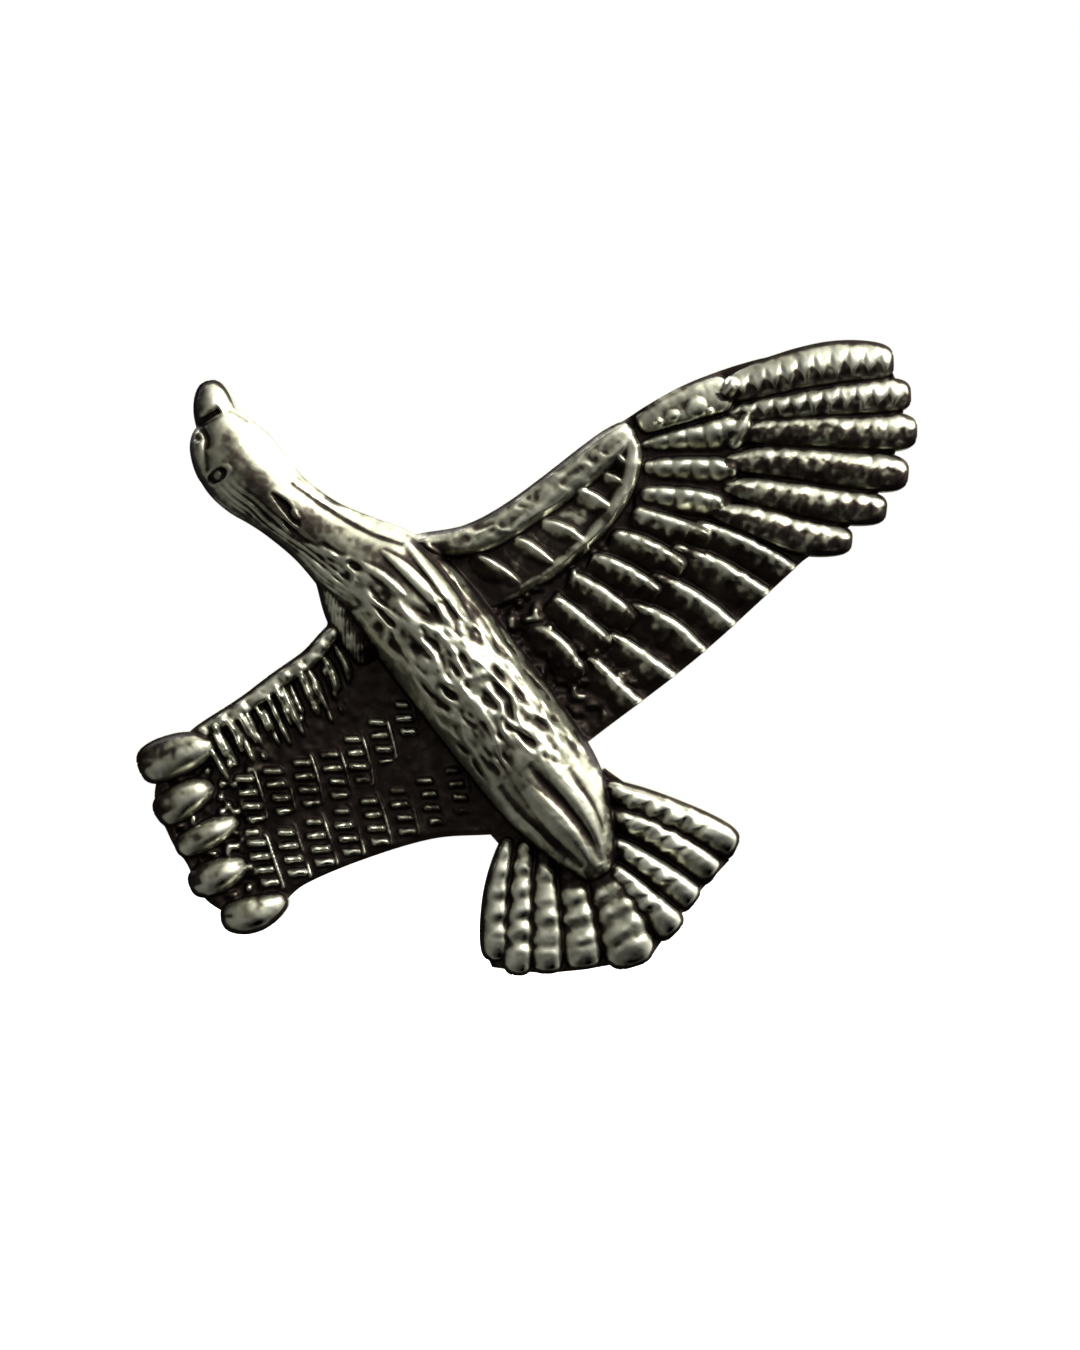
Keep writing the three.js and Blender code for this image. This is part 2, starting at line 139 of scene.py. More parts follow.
def curve(points, steps):
    """A Catmull-Rom curve through rows of numbers, with that many steps between two rows."""
    rows = np.asarray(points, float)
    padded = np.vstack([2 * rows[0] - rows[1], rows, 2 * rows[-1] - rows[-2]])
    share = np.linspace(0, 1, steps, endpoint=False)[:, None]
    spans = []
    for p0, p1, p2, p3 in zip(padded, padded[1:], padded[2:], padded[3:]):
        bend = 2 * p0 - 5 * p1 + 4 * p2 - p3
        twist = 3 * p1 - p0 - 3 * p2 + p3
        spans.append(p1 + 0.5 * share * (p2 - p0 + share * (bend + share * twist)))
    return np.vstack([*spans, rows[-1:]])


def outline(*runs):
    """A closed outline from runs of points: a run of two is straight, and a longer one is a curve."""
    spans = [curve(run, 12)[:-1] if len(run) > 2 else np.asarray(run[:1], float) for run in runs]
    return np.vstack(spans)


def blurred(field, mask, radius):
    """field smoothed by a Gaussian of that radius in millimetres, ignoring what is outside the mask."""
    def smooth(values):
        pad = int(4 * radius / STEP) + 2
        wide = np.pad(values, pad)
        fz = np.fft.fftfreq(wide.shape[0], STEP)[:, None]
        fx = np.fft.rfftfreq(wide.shape[1], STEP)[None, :]
        kernel = np.exp(-2 * (math.pi * radius) ** 2 * (fx ** 2 + fz ** 2))
        back = np.fft.irfft2(np.fft.rfft2(wide) * kernel, wide.shape)
        return back[pad:-pad, pad:-pad]
    weight = smooth(mask.astype(float))
    return smooth(np.where(mask, field, 0.0)) / np.maximum(weight, 1e-4)


# ---------------------------------------------------------------- the height map

class Relief:
    """Height above the flat back, distance inside the outline, and how dark the pewter is painted: antique
    black and painted shade, with painted highlight where it is negative.
    """

    def __init__(self, low, high):
        self.low = np.asarray(low, float)
        count = np.ceil((np.asarray(high) - low) / STEP).astype(int) + 1
        xs = low[0] + STEP * np.arange(count[0])
        zs = low[1] + STEP * np.arange(count[1])
        self.x, self.z = np.meshgrid(xs, zs)
        self.height = np.zeros(self.x.shape)
        self.inside = np.full(self.x.shape, -9.0)  # nothing is there yet
        self.painted_light_and_antiquing = np.zeros(self.x.shape)

    def window(self, low, high):
        """The part of the map between two corners."""
        first = np.maximum(0, np.floor((np.asarray(low) - self.low) / STEP).astype(int))
        last = np.ceil((np.asarray(high) - self.low) / STEP).astype(int) + 1
        return slice(first[1], last[1]), slice(first[0], last[0])

    def noise(self, size, seed):
        """Bumps of that size."""
        return noise(self.x / size, self.z / size, seed)

    def raise_to(self, area, chosen, height):
        """Fills up the chosen points of an area to a height."""
        self.height[area] = np.where(chosen, np.maximum(self.height[area], height), self.height[area])

    def plate(self, points, height, rounding=0.35, solid=True):
        """Fills an outline up to a height, with a rounded edge. Returns the distance inside it."""
        inside = polygon_distance(self.x, self.z, points)
        edge = np.sqrt(np.clip(1 - (1 - np.clip(inside / rounding, 0, 1)) ** 2, 0, 1))
        self.raise_to(slice(None), inside > 0, WALL + (height - WALL) * edge)
        if solid:
            self.inside = np.maximum(self.inside, inside)
        return inside


def polygon_distance(x, z, points):
    """Distance to a closed outline, positive inside it."""
    best = np.full(x.shape, FAR)
    odd = np.zeros(x.shape, bool)
    for (ax, az), (bx, bz) in zip(points, np.roll(points, -1, axis=0)):
        ux, uz = bx - ax, bz - az
        share = np.clip(((x - ax) * ux + (z - az) * uz) / max(ux * ux + uz * uz, 1e-12), 0, 1)
        best = np.minimum(best, (x - ax - share * ux) ** 2 + (z - az - share * uz) ** 2)
        if az != bz:
            odd ^= ((az > z) != (bz > z)) & (x < ax + (z - az) * ux / uz)
    return np.where(odd, 1, -1) * np.sqrt(best)


class Strip:
    """Coordinates round a curved strip: along it and across it (left is positive), in millimetres."""

    REACH = 9  # how many spans the middle line is drawn out by at either end

    def __init__(self, relief, stations, blunt=4.0):
        line = curve(stations, 14)
        reach = line[:, 2].max() + 4 * STEP
        self.area = relief.window(line[:, :2].min(0) - reach, line[:, :2].max(0) + reach)
        x, z = relief.x[self.area], relief.z[self.area]
        starts, spans = line[:-1, :2], np.diff(line[:, :2], axis=0)
        lengths = np.hypot(*spans.T)
        travelled = np.concatenate([[0], np.cumsum(lengths)])
        best = np.full(x.shape, FAR)
        self.along, self.across = np.zeros(x.shape), np.zeros(x.shape)
        last = len(spans) - 1
        for k, (start, span, length) in enumerate(zip(starts, spans, lengths)):
            rx, rz = x - start[0], z - start[1]
            share = (rx * span[0] + rz * span[1]) / length ** 2
            near = np.clip(share, 0, 1)
            away = (rx - near * span[0]) ** 2 + (rz - near * span[1]) ** 2
            closer = away < best
            side = span[0] * rz - span[1] * rx
            free = np.clip(share, 0 if k else -self.REACH, 1 if k < last else self.REACH)
            sideways = np.where(free == share, np.abs(side) / length, np.sqrt(away))
            best = np.where(closer, away, best)
            self.along = np.where(closer, travelled[k] + free * length, self.along)
            self.across = np.where(closer, np.sign(side) * sideways, self.across)
        self.length = travelled[-1]
        self.half = np.interp(self.along, travelled, line[:, 2])
        self.top = np.interp(self.along, travelled, line[:, 3])
        share = np.abs(2 * self.along / self.length - 1)
        self.end = np.clip(1 - share ** blunt, 0, 1) ** (1 / blunt)
        gauge = ((np.abs(self.across) / self.half) ** blunt + share ** blunt) ** (1 / blunt)
        slope = np.hypot(*np.gradient(gauge, STEP))
        inside = (1 - gauge) / np.maximum(slope, 0.05)
        width = np.maximum(self.half * self.end, 1e-6)
        self.u = np.clip(self.across / width, -1, 1)
        self.inside = np.where(self.end > 0, np.minimum(inside, width - np.abs(self.across)), inside)

    def dome(self, crest=0.0, power=2.0, slope=None, upper=None):
        """1 along the crest and 0 at the sides. crest is where it runs, from -1 to 1 across.
        slope, if given, makes the right side fall away more evenly than a round would, and upper the left."""
        u = np.where(self.u > crest, (self.u - crest) / (1 - crest), (crest - self.u) / (1 + crest))
        shape = np.clip(1 - u ** power, 0, 1) ** (1 / power)
        if slope:
            shape = np.where(self.u < crest, 1 - u ** slope, shape)
        if upper:
            shape = np.where(self.u > crest, 1 - u ** upper, shape)
        return shape * self.end

    @property
    def arc(self):
        """Across, measured round the dome instead of flat."""
        return np.arcsin(self.u) * self.half

    def phase(self, pitch, skew=0.0, offset=0.0):
        """How many pitches along, for marks that slant by skew."""
        return (self.along + skew * self.across) / pitch + offset

    def noise(self, along, across, seed):
        """Bumps of that size along and across."""
        return noise(self.along / along, self.across / across, seed)


def raise_strip(relief, stations, base=WALL, blunt=4.0, crest=0.0, power=2.0, slope=None, upper=None,
                detail=None, solid=True):
    """Adds a rounded strip. Each station is x, z, half width, height above the back."""
    strip = Strip(relief, stations, blunt)
    dome = strip.dome(crest, power, slope, upper)
    height = base + (strip.top - base) * dome
    if detail:
        height = height + detail(strip) * np.sqrt(dome)
    relief.raise_to(strip.area, dome > 0, height)
    if solid:
        relief.inside[strip.area] = np.maximum(relief.inside[strip.area], strip.inside)
    return strip


def emboss(relief, stations, power=2.0):
    """Adds to the surface, or cuts into it where the stations' last number is negative."""
    strip = Strip(relief, stations, 2.0)
    relief.height[strip.area] += strip.top * strip.dome(power=power)


def shade(relief, points, amount, reach):
    """Paints shade softly round a line of points, and highlight where the amount is negative; in places the
    shade also stands for the antique black.
    """
    line = curve([(x, z, reach, 1) for x, z in points], 10)
    best = np.full(relief.x.shape, FAR)
    for x, z in line[:, :2]:
        best = np.minimum(best, np.hypot(relief.x - x, relief.z - z))
    relief.painted_light_and_antiquing += amount * bell(best, reach)


def paint_shade_across(relief, strip, amount, level, jag, pitch, seed, painted_highlight=0.0):
    """Painted shade on the part of a strip below a level across it, where it turns from the light, with a
    jagged and blotchy border.
    The last argument takes shade off the part above the level, as a painted highlight."""
    border = level + jag * (np.abs(2 * (strip.phase(pitch) % 1) - 1) - 0.5)
    blotch = strip.noise(0.5, 0.35, seed)
    share = smoothstep(border + 0.12, border - 0.2, strip.u)
    painted_light_and_antiquing = amount * (0.5 + blotch) * share - painted_highlight * (1 - share)
    relief.painted_light_and_antiquing[strip.area] += np.where(strip.end * (1 - np.abs(strip.u)) > 0, painted_light_and_antiquing, 0)


def feathers(relief, rows, surface, painted_light_and_antiquing, **shape):
    """Raises strips one after another. surface gives a strip's detail, and the next function its painted
    shade and highlight, by its number.
    """
    for index, stations in enumerate(rows):
        strip = raise_strip(relief, stations, detail=surface(index), **shape)
        paint_shade_across(relief, strip, *painted_light_and_antiquing(index))


def lobes(pitch, depth, skew, offset=0.0, roundness=0.6):
    """Rounded lobes along a strip, parted by narrow grooves that slant by skew."""
    def detail(strip):
        return -depth * (1 - np.abs(np.sin(math.pi * strip.phase(pitch, skew, offset))) ** roundness)
    return detail


def between(first, last, count):
    """Evenly changing copies of a list of stations, from the first to the last."""
    first, last = np.asarray(first, float), np.asarray(last, float)
    return [first + (last - first) * i / (count - 1) for i in range(count)]


# ---------------------------------------------------------------- right wing

RIGHT_WING = outline(
    [(-2, 8.0), (2, 8.95), (6.5, 12.12), (11, 15.2), (14.5, 17.05), (18.5, 18.3), (24.5, 19.1)],
    [(24.5, 19.1), (25.75, 17.2), (26.25, 15.2), (25.85, 13.0), (24.9, 10.6), (23.1, 8.5), (20.25, 6.4)],
    [(20.3, 6.4), (14.4, 1.0), (8, -3.95)],
    [(8, -3.95), (2, -1)],
    [(2, -1), (-2, 8.0)],
)
PRIMARIES = [
    [(15.4, 16.15, 0.8, 2.0), (18.5, 17.1, 1.15, 2.4), (22, 17.9, 1.3, 2.5), (25.7, 18.05, 1.3, 2.25)],
    [(16.0, 15.0, 0.55, 1.9), (20, 15.6, 0.95, 2.35), (23.5, 16.0, 1.1, 2.45), (26.7, 16.15, 1.15, 2.25)],
    [(16.1, 13.9, 0.55, 1.9), (20, 14.1, 1.05, 2.3), (23.5, 14.05, 1.15, 2.4), (27.05, 14.0, 1.25, 2.2)],
    [(15.9, 12.3, 0.6, 1.9), (19.5, 12.3, 1.05, 2.25), (23, 11.9, 1.2, 2.35), (26.55, 11.5, 1.2, 2.2)],
    [(15.8, 10.9, 0.55, 1.9), (19, 10.4, 1.0, 2.2), (22, 9.85, 1.1, 2.25), (25.3, 9.45, 1.05, 2.1)],
    [(15.2, 9.4, 0.55, 1.8), (18, 8.8, 1.0, 2.15), (20.5, 8.0, 1.1, 2.2), (23.3, 7.65, 0.95, 2.05)],
]


def dented(seed, depth, pitch=0.55):
    """Uneven dents, as left by a graver."""
    def detail(strip):
        return depth * (strip.noise(pitch, 1.4 * pitch, seed) - 0.6)
    return detail


def teeth(pitch, depth, skew, offset, low, high):
    """Pointed notches along a strip, widest at low and ending in a point at high across it."""
    def detail(strip):
        wave = 1 - np.abs(2 * (strip.phase(pitch, skew, offset) % 1) - 1)
        level = (strip.u - low) / (high - low)
        return -depth * smoothstep(-0.15, 0.3, wave - level) * smoothstep(-0.25, 0.1, level)
    return detail


def knob(place, height):
    """A bump on the upper edge, at a place measured from the strip's start, or from its end if negative."""
    def detail(strip):
        away = strip.along - (place if place > 0 else strip.length + place)
        return height * np.exp(-((away / 0.35) ** 2) - ((strip.u - 0.6) / 0.3) ** 2)
    return detail


def both(*details):
    return lambda strip: sum(detail(strip) for detail in details)


def roughen(relief, inside, size, seed, amount):
    """Makes the metal between the feathers uneven."""
    rough = relief.noise(size, seed) - 0.5
    relief.height += np.where(inside > 0, amount * rough * smoothstep(0, 0.6, inside), 0)


def right_wing(relief):
    inside = relief.plate(RIGHT_WING, PLATE)
    root = smoothstep(5.5, 1.5, np.hypot(0.6 * (relief.x - 3), relief.z - 2.2) - 2)
    roughen(relief, inside, 0.45, 3, 0.12 + 0.9 * root)
    for index, stations in enumerate(reversed(PRIMARIES)):
        number = len(PRIMARIES) - index
        # The two uppermost are notched from edge to shaft, and the others only have painted shade below the
        # shaft; all get a little painted highlight above it.
        notch, painted_light_and_antiquing, level, jag = (0.14, 0.75, -0.05, 0.4) if number <= 2 else (0.05, 1.0, 0.3, 0.16)
        surface = both(teeth(0.95, notch, -0.2, 0.3 * number, -0.6, 0.55), dented(60 + index, 0.18, 0.5))
        strip = raise_strip(relief, stations, 1.45, 4, -0.05, power=2.2, upper=1.7, detail=surface)
        paint_shade_across(relief, strip, painted_light_and_antiquing, level, jag, 0.95, 60 + index, 0.3)
    secondaries = between(
        [(13.9, 8.4, 0.95, 1.8), (17.0, 7.0, 1.15, 2.05), (20.2, 5.4, 1.05, 1.85)],
        [(7.7, 0.6, 0.8, 1.6), (9.3, -0.9, 1.05, 1.9), (11.0, -2.6, 0.9, 1.7)],
        6,
    )
    coverts = between(
        [(10.5, 9.2, 0.9, 1.8), (12.6, 8.3, 1.1, 2.15), (15.0, 7.3, 1.0, 2.3)],
        [(4.5, 2.7, 0.75, 1.6), (5.9, 1.4, 1.0, 1.9), (7.6, -0.2, 0.9, 2.0)],
        6,
    )
    for index, stations in enumerate([*secondaries, *coverts]):
        wobble = np.array([hashed(index, place, 15) - 0.5 for place in range(3)])
        stations = stations + np.outer(wobble, (0.1, 0.3, 0.1, 0.25))
        knobs = knob(0.5, 0.22) if index < len(secondaries) else knob(-0.6, 0.22)
        surface = both(lobes(1.6, 0.1, 0.2, 0.35 * index), dented(index, 0.2, 0.4), knobs)
        strip = raise_strip(relief, stations, 1.05, 7, 0.52, slope=1.15, detail=surface, solid=False)
        # Painted shade on each one's side away from the light, and a little painted highlight on the other.
        paint_shade_across(relief, strip, 0.75, 0.45, 0.12, 1.6, 10 + index, 0.1)
    hand(relief)
    arm(relief)


def hand(relief):
    """The coverts round the wrist, and the panel above them."""
    ground = np.array([(10.6, 9.2), (10.6, 14.8), (16.6, 15.6), (17.2, 13.2), (16.3, 9.0), (13.2, 9.2)])
    relief.plate(ground, 1.45, 0.4, solid=False)
    rows = [
        [(10.9, 10.3, 0.75, 1.9), (13.2, 10.05, 0.9, 2.1), (15.9, 9.6, 0.95, 2.3)],
        [(11.0, 11.8, 0.75, 1.95), (13.7, 11.7, 0.95, 2.2), (16.7, 11.65, 1.0, 2.4)],
        [(11.0, 13.1, 0.5, 2.0), (13.9, 13.5, 1.0, 2.3), (17.4, 14.0, 1.35, 2.5)],
    ]
    # Each row gets painted shade on its side away from the light.
    feathers(
        relief, rows,
        lambda index: both(lobes(1.07, 0.14, 0.1, 0.2 * index, 0.8), dented(20 + index, 0.16)),
        lambda index: (0.3, -0.1, 0.5, 1.07, 20 + index),
        base=1.05, crest=0.35, slope=1.7, solid=False,
    )
    raise_strip(relief, [(10.9, 14.4, 0.8, 2.1), (13.4, 15.35, 1.2, 2.3), (16.3, 16.35, 1.2, 2.3)],
                1.05, 5, 0.1, power=3, detail=dented(25, 0.1), solid=False)
    for x, z, size in ((12.1, 14.5, 0.25), (12.9, 14.9, 0.38), (14.3, 15.35, 0.6), (15.1, 15.1, 0.2)):
        emboss(relief, [(x - size, z - size / 3, size, 0.25), (x + size, z + size / 3, size, 0.25)])
    emboss(relief, [(11.5, 13.8, 0.14, -0.25), (13.8, 14.4, 0.14, -0.25), (16.2, 15.1, 0.14, -0.25)])
    for knuckle in (
        [(15.8, 15.9, 0.5, 2.4), (16.3, 16.6, 0.6, 2.65), (16.3, 17.2, 0.4, 2.4)],
        [(16.3, 13.0, 0.5, 2.3), (16.9, 14.2, 0.6, 2.55), (17.35, 15.1, 0.35, 2.4)],
    ):
        raise_strip(relief, knuckle, solid=False)


def arm(relief):
    """Overlapping coverts between the leading edge and a smooth rim that ends at the wrist."""
    panel = outline(
        [(-0.6, 6.4), (3.5, 8.6), (10.6, 13.9)],
        [(10.6, 13.9), (11.1, 12.6), (10.5, 10.3), (9.2, 8.2), (7.6, 6.7), (6.1, 5.5), (4.0, 4.3),
         (2.4, 3.6)],
        [(2.4, 3.6), (-0.6, 6.4)],
    )
    inside = relief.plate(panel, 1.7, 0.5, solid=False)
    fade = smoothstep(1.5, 5.0, relief.x)
    relief.height -= np.where(inside > 0, (1 - fade) * smoothstep(0, 0.5, inside) * 0.35, 0)
    # Painted highlight: the panel's ground is painted lighter towards the wrist.
    relief.painted_light_and_antiquing -= np.where(inside > 0, 0.35 * fade, 0)
    scallops = [
        [(8.2, 12.9, 0.6, 2.2), (9.3, 12.3, 0.8, 2.45), (10.5, 11.6, 0.6, 2.4)],
        [(8.2, 11.5, 0.5, 2.1), (9.3, 11.0, 0.7, 2.25), (10.2, 10.5, 0.5, 2.2)],
        [(6.6, 10.4, 0.7, 2.1), (8.1, 9.8, 0.9, 2.3), (9.5, 8.9, 0.7, 2.3)],
        [(5.0, 8.6, 0.7, 2.0), (6.5, 7.9, 0.9, 2.2), (8.0, 7.0, 0.7, 2.2)],
        [(3.4, 7.7, 0.6, 1.95), (4.6, 6.9, 0.8, 2.1), (6.1, 5.9, 0.6, 2.05)],
        [(1.2, 6.7, 0.6, 1.85), (2.4, 5.9, 0.75, 1.95), (4.1, 4.9, 0.6, 1.85)],
    ]
    # Each scallop gets painted shade below its bright upper edge.
    feathers(
        relief, reversed(scallops),
        lambda index: dented(30 + index, 0.2, 0.5), lambda index: (0.45, 0.5, 0.15, 1.0, 30 + index),
        base=1.3, crest=0.55, slope=1.15, solid=False,
    )
    rim = [(10.1, 13.9, 0.9, 2.75), (10.35, 12.5, 0.95, 2.65), (9.8, 10.5, 0.8, 2.45), (8.5, 8.6, 0.7, 2.25),
           (7.0, 7.2, 0.6, 2.1), (5.5, 6.0, 0.55, 1.95), (3.8, 5.0, 0.45, 1.75), (2.3, 4.4, 0.35, 1.5)]
    raise_strip(relief, rim, 1.1, 5, 0.45, slope=1.9, detail=dented(36, 0.16, 0.6), solid=False)
    # Painted shade along the rim below the wrist.
    shade(relief, [(10.3, 11.2), (9.2, 9.0), (7.2, 7.2), (4.0, 5.0), (2.3, 4.3)], 0.8, 0.9)
    edge = [(-2.2, 7.3, 0.8, 2.9), (0, 7.5, 0.8, 2.65), (2, 8.0, 0.95, 2.4), (4, 9.1, 1.0, 2.35),
            (6, 10.5, 1.05, 2.4), (8, 12.0, 1.1, 2.5), (9.6, 13.3, 1.05, 2.65), (10.5, 14.25, 0.8, 2.7)]

    def waves(strip):
        phase = strip.along / 2.1 + 0.9 * strip.noise(1.3, 0.8, 37) + 0.35 * strip.u
        veins = np.abs(2 * strip.noise(1.5, 0.5, 38) - 1)
        return 0.035 * np.sin(2 * math.pi * phase) - 0.04 + 0.12 * (1 - veins) ** 4
    raise_strip(relief, edge, 1.3, 6, 0.1, power=2.6, detail=waves)


# ---------------------------------------------------------------- left wing

LEFT_WING = outline(
    [(-6.9, 3.2), (-7.5, 1.9), (-9.3, 0.55), (-12, -1.55), (-15, -3.4)],
    [(-15, -3.4), (-17.0, -6.6), (-16.25, -9.3), (-15.2, -11.0), (-14.05, -13.1), (-12.2, -14.2)],
    [(-12.2, -14.2), (-10, -13.5), (-8.4, -12.2), (-5, -10.75), (-1, -9.55), (2.4, -9.3)],
    [(2.4, -9.3), (3.3, -10.3)],
    [(3.3, -10.3), (5.5, -8)],
    [(5.5, -8), (-2, 3.5)],
    [(-2, 3.5), (-6.9, 3.2)],
)
WING_TIPS = [
    [(-13.4, -4.05, 0.7, 2.4), (-15.4, -4.6, 1.2, 2.6), (-17.95, -5.55, 1.35, 2.0)],
    [(-13.7, -6.4, 0.7, 2.3), (-15.2, -7.2, 1.05, 2.5), (-16.9, -8.35, 1.15, 1.9)],
    [(-12.2, -8.4, 0.55, 2.0), (-13.8, -9.25, 0.85, 2.45), (-15.8, -10.2, 0.85, 2.0)],
    [(-11.7, -10.9, 0.65, 2.0), (-13.2, -11.6, 1.0, 2.5), (-15.0, -12.35, 1.0, 2.0)],
    [(-9.4, -13.0, 0.65, 1.9), (-11.3, -13.9, 1.05, 2.4), (-13.2, -14.15, 1.0, 2.0)],
]


def left_wing(relief):
    inside = relief.plate(LEFT_WING, PLATE)
    worn = smoothstep(-9.5, -13, relief.x)
    roughen(relief, inside, 0.4, 8, 0.1 + 0.9 * worn)
    strokes = between(
        [(-6.6, 1.9, 0.2, 1.75), (-5.9, 0.4, 0.26, 1.8), (-5.3, -1.4, 0.2, 1.5)],
        [(-14.2, -3.6, 0.2, 1.9), (-13.6, -4.6, 0.26, 2.0), (-13.0, -5.9, 0.2, 1.7)],
        22,
    )
    # Short strokes behind the leading edge, each moved, turned and cut a little differently.
    for index, stations in enumerate(strokes):
        wobble, drift, cut = hashed(index, 1.0, 5) - 0.5, hashed(index, 3.0, 5) - 0.5, hashed(index, 2.0, 5)
        stations = stations + np.array([0.5 * drift, 1.1 * wobble, 0.14 * wobble, 0.7 * wobble])
        stations[2, :2] = stations[0, :2] + (1.2 - 0.4 * cut) * (stations[2, :2] - stations[0, :2])
        stations[1, 0] += 0.35 * (cut - 0.5)
        raise_strip(relief, stations, ROW_GAP, 3, detail=dented(index, 0.7, 0.5), solid=False)
    middle_row = between(
        [(-11.9, -5.7, 0.74, 1.9), (-11.5, -7.1, 0.78, 1.9), (-11.1, -8.6, 0.74, 1.9)],
        [(-7.0, -4.3, 0.72, 1.8), (-6.6, -5.7, 0.76, 1.8), (-6.2, -7.3, 0.72, 1.8)],
        4,
    )
    inner_row = between(
        [(-5.7, -3.4, 0.7, 1.75), (-5.3, -4.9, 0.74, 1.75), (-4.9, -6.6, 0.7, 1.7)],
        [(-2.8, -1.4, 0.62, 1.6), (-2.5, -2.6, 0.66, 1.65), (-2.2, -3.7, 0.62, 1.6)],
        3,
    )
    low_row = between(
        [(-11.2, -9.4, 0.74, 1.9), (-10.7, -11.1, 0.78, 1.9), (-10.1, -12.7, 0.74, 1.8)],
        [(0.1, -5.2, 0.66, 1.5), (0.5, -6.5, 0.7, 1.5), (0.9, -8.3, 0.66, 1.5)],
        8,
    )
    for index, stations in enumerate([*middle_row, *inner_row, *low_row]):
        grid_column(relief, stations, index)
    edge = [(-6.5, 2.65, 0.6, 2.0), (-8.0, 0.95, 0.55, 1.9), (-10, -0.5, 0.55, 1.9), (-12, -2.0, 0.55, 1.95),
            (-14.9, -3.8, 0.55, 2.0)]
    surface = both(lobes(1.9, 0.1, 0.5), dented(71, 0.4, 0.45))
    raise_strip(relief, edge, 1.1, 6, 0.1, power=2.4, detail=surface)
    # Each tip gets painted shade on one side and a little painted highlight on the other.
    feathers(
        relief, WING_TIPS,
        lambda index: dented(74 + index, 0.08, 1.1), lambda index: (0.75, 0.15, 0.2, 2.5, 74 + index, 0.1),
        blunt=3, power=2.2,
    )


def grid_column(relief, stations, index):
    """A feather drawn as a thin shaft with short bars on one side, like a ladder."""
    strip = Strip(relief, stations, 8)
    place = strip.phase(0.82, -0.25)
    number = np.floor(place)
    weight = np.minimum(0.6 + 0.6 * hashed(number, index, 9), 1)
    reach = 0.6 + 0.3 * hashed(number, index, 10)
    bar = np.exp(-(((place - number - 0.5) / 0.29) ** 4)) * smoothstep(-reach - 0.15, -reach + 0.1, strip.u)
    bar = weight * bar * (1 - smoothstep(0.5, 0.75, strip.u))
    bar = bar * (0.7 + 0.45 * strip.noise(0.3, 0.3, 12))
    shaft = bell(strip.u - 0.85, 0.15) * (0.3 + 0.8 * noise(strip.along / 1.1, index, 11))
    shape = strip.dome(0.0, 8.0)
    height = ROW_GAP + shape * (strip.top - ROW_GAP) * np.maximum(bar, 0.8 * shaft)
    relief.raise_to(strip.area, shape > 0, height)


# ---------------------------------------------------------------- tail

TAIL = outline(
    [(5, -8), (3, -9.9), (2.4, -12.5), (1.9, -15.2), (2.5, -17.0)],
    [(2.5, -17.0), (5.5, -17.3), (8.5, -17.0), (11.65, -16.4)],
    [(11.65, -16.4), (13.2, -14.2), (14.5, -12.6), (16.2, -10.8)],
    [(16.2, -10.8), (9, -5.5)],
    [(9, -5.5), (5, -8)],
)
SIDE_FEATHERS = [
    [(8.6, -6.6, 0.8, 2.3), (12.2, -8.15, 1.15, 2.45), (16.6, -10.1, 1.25, 2.25)],
    [(9.0, -8.1, 0.8, 2.3), (12, -9.5, 1.05, 2.45), (15.4, -11.65, 1.2, 2.25)],
    [(9.0, -9.7, 0.8, 2.3), (11.5, -11.3, 1.0, 2.45), (14.2, -13.25, 1.2, 2.25)],
    [(8.8, -11.0, 0.8, 2.3), (10.9, -12.9, 1.05, 2.45), (13.1, -15.0, 1.25, 2.25)],
]
LOW_FEATHERS = [
    [(3.4, -9.5, 0.5, 2.2), (2.75, -12.8, 0.76, 2.3), (2.65, -16.6, 1.0, 2.05)],
    [(4.4, -9.6, 0.6, 2.2), (4.1, -13.4, 0.88, 2.3), (3.95, -17.45, 1.05, 2.15)],
    [(5.4, -10.2, 0.6, 2.2), (5.6, -13.6, 0.95, 2.4), (5.65, -17.35, 1.15, 2.15)],
    [(6.8, -10.6, 0.7, 2.2), (7.35, -13.6, 1.12, 2.4), (7.85, -17.1, 1.3, 2.15)],
    [(8.2, -10.8, 0.8, 2.2), (9.65, -13.6, 1.5, 2.5), (10.7, -16.95, 1.65, 2.2)],
]


def tail(relief):
    relief.plate(TAIL, PLATE)
    smooth_tip = 1.6  # how much of a feather's end has no marks

    def notched(index):
        notches = teeth(1.15, 0.13, -0.5, 0.3 * index, -0.75, 0.55)
        return faded(both(notches, dented(80 + index, 0.28, 0.5)), smooth_tip - 0.3, smooth_tip + 0.5)

    def beaded(index):
        rounds = beads(1.25, 0.17, 0.15, 0.23 * index)
        return faded(both(rounds, dented(90 + index, 0.2, 0.5)), smooth_tip - 0.5, smooth_tip + 0.1)

    # Painted shade on each feather's side away from the light, and painted highlight on the other.
    feathers(relief, SIDE_FEATHERS, notched, lambda index: (0.35, -0.1, 0.5, 1.15, 80 + index, 0.3),
             base=1.05, crest=0.3, slope=2.2)
    feathers(relief, LOW_FEATHERS, beaded, lambda index: (0.2, -0.3, 0.3, 1.25, 90 + index, 0.2),
             base=1.05, blunt=3.6, crest=0.1, power=2.3)


def beads(pitch, depth, skew, offset):
    """Round beads along a strip, parted by hollows that slant by skew."""
    def detail(strip):
        return -depth * np.cos(math.pi * strip.phase(pitch, skew, offset)) ** 2
    return detail


def faded(surface, low, high):
    """A surface that dies out towards the strip's end, between two distances from it."""
    return lambda strip: surface(strip) * smoothstep(low, high, strip.length - strip.along)


# ---------------------------------------------------------------- body and head

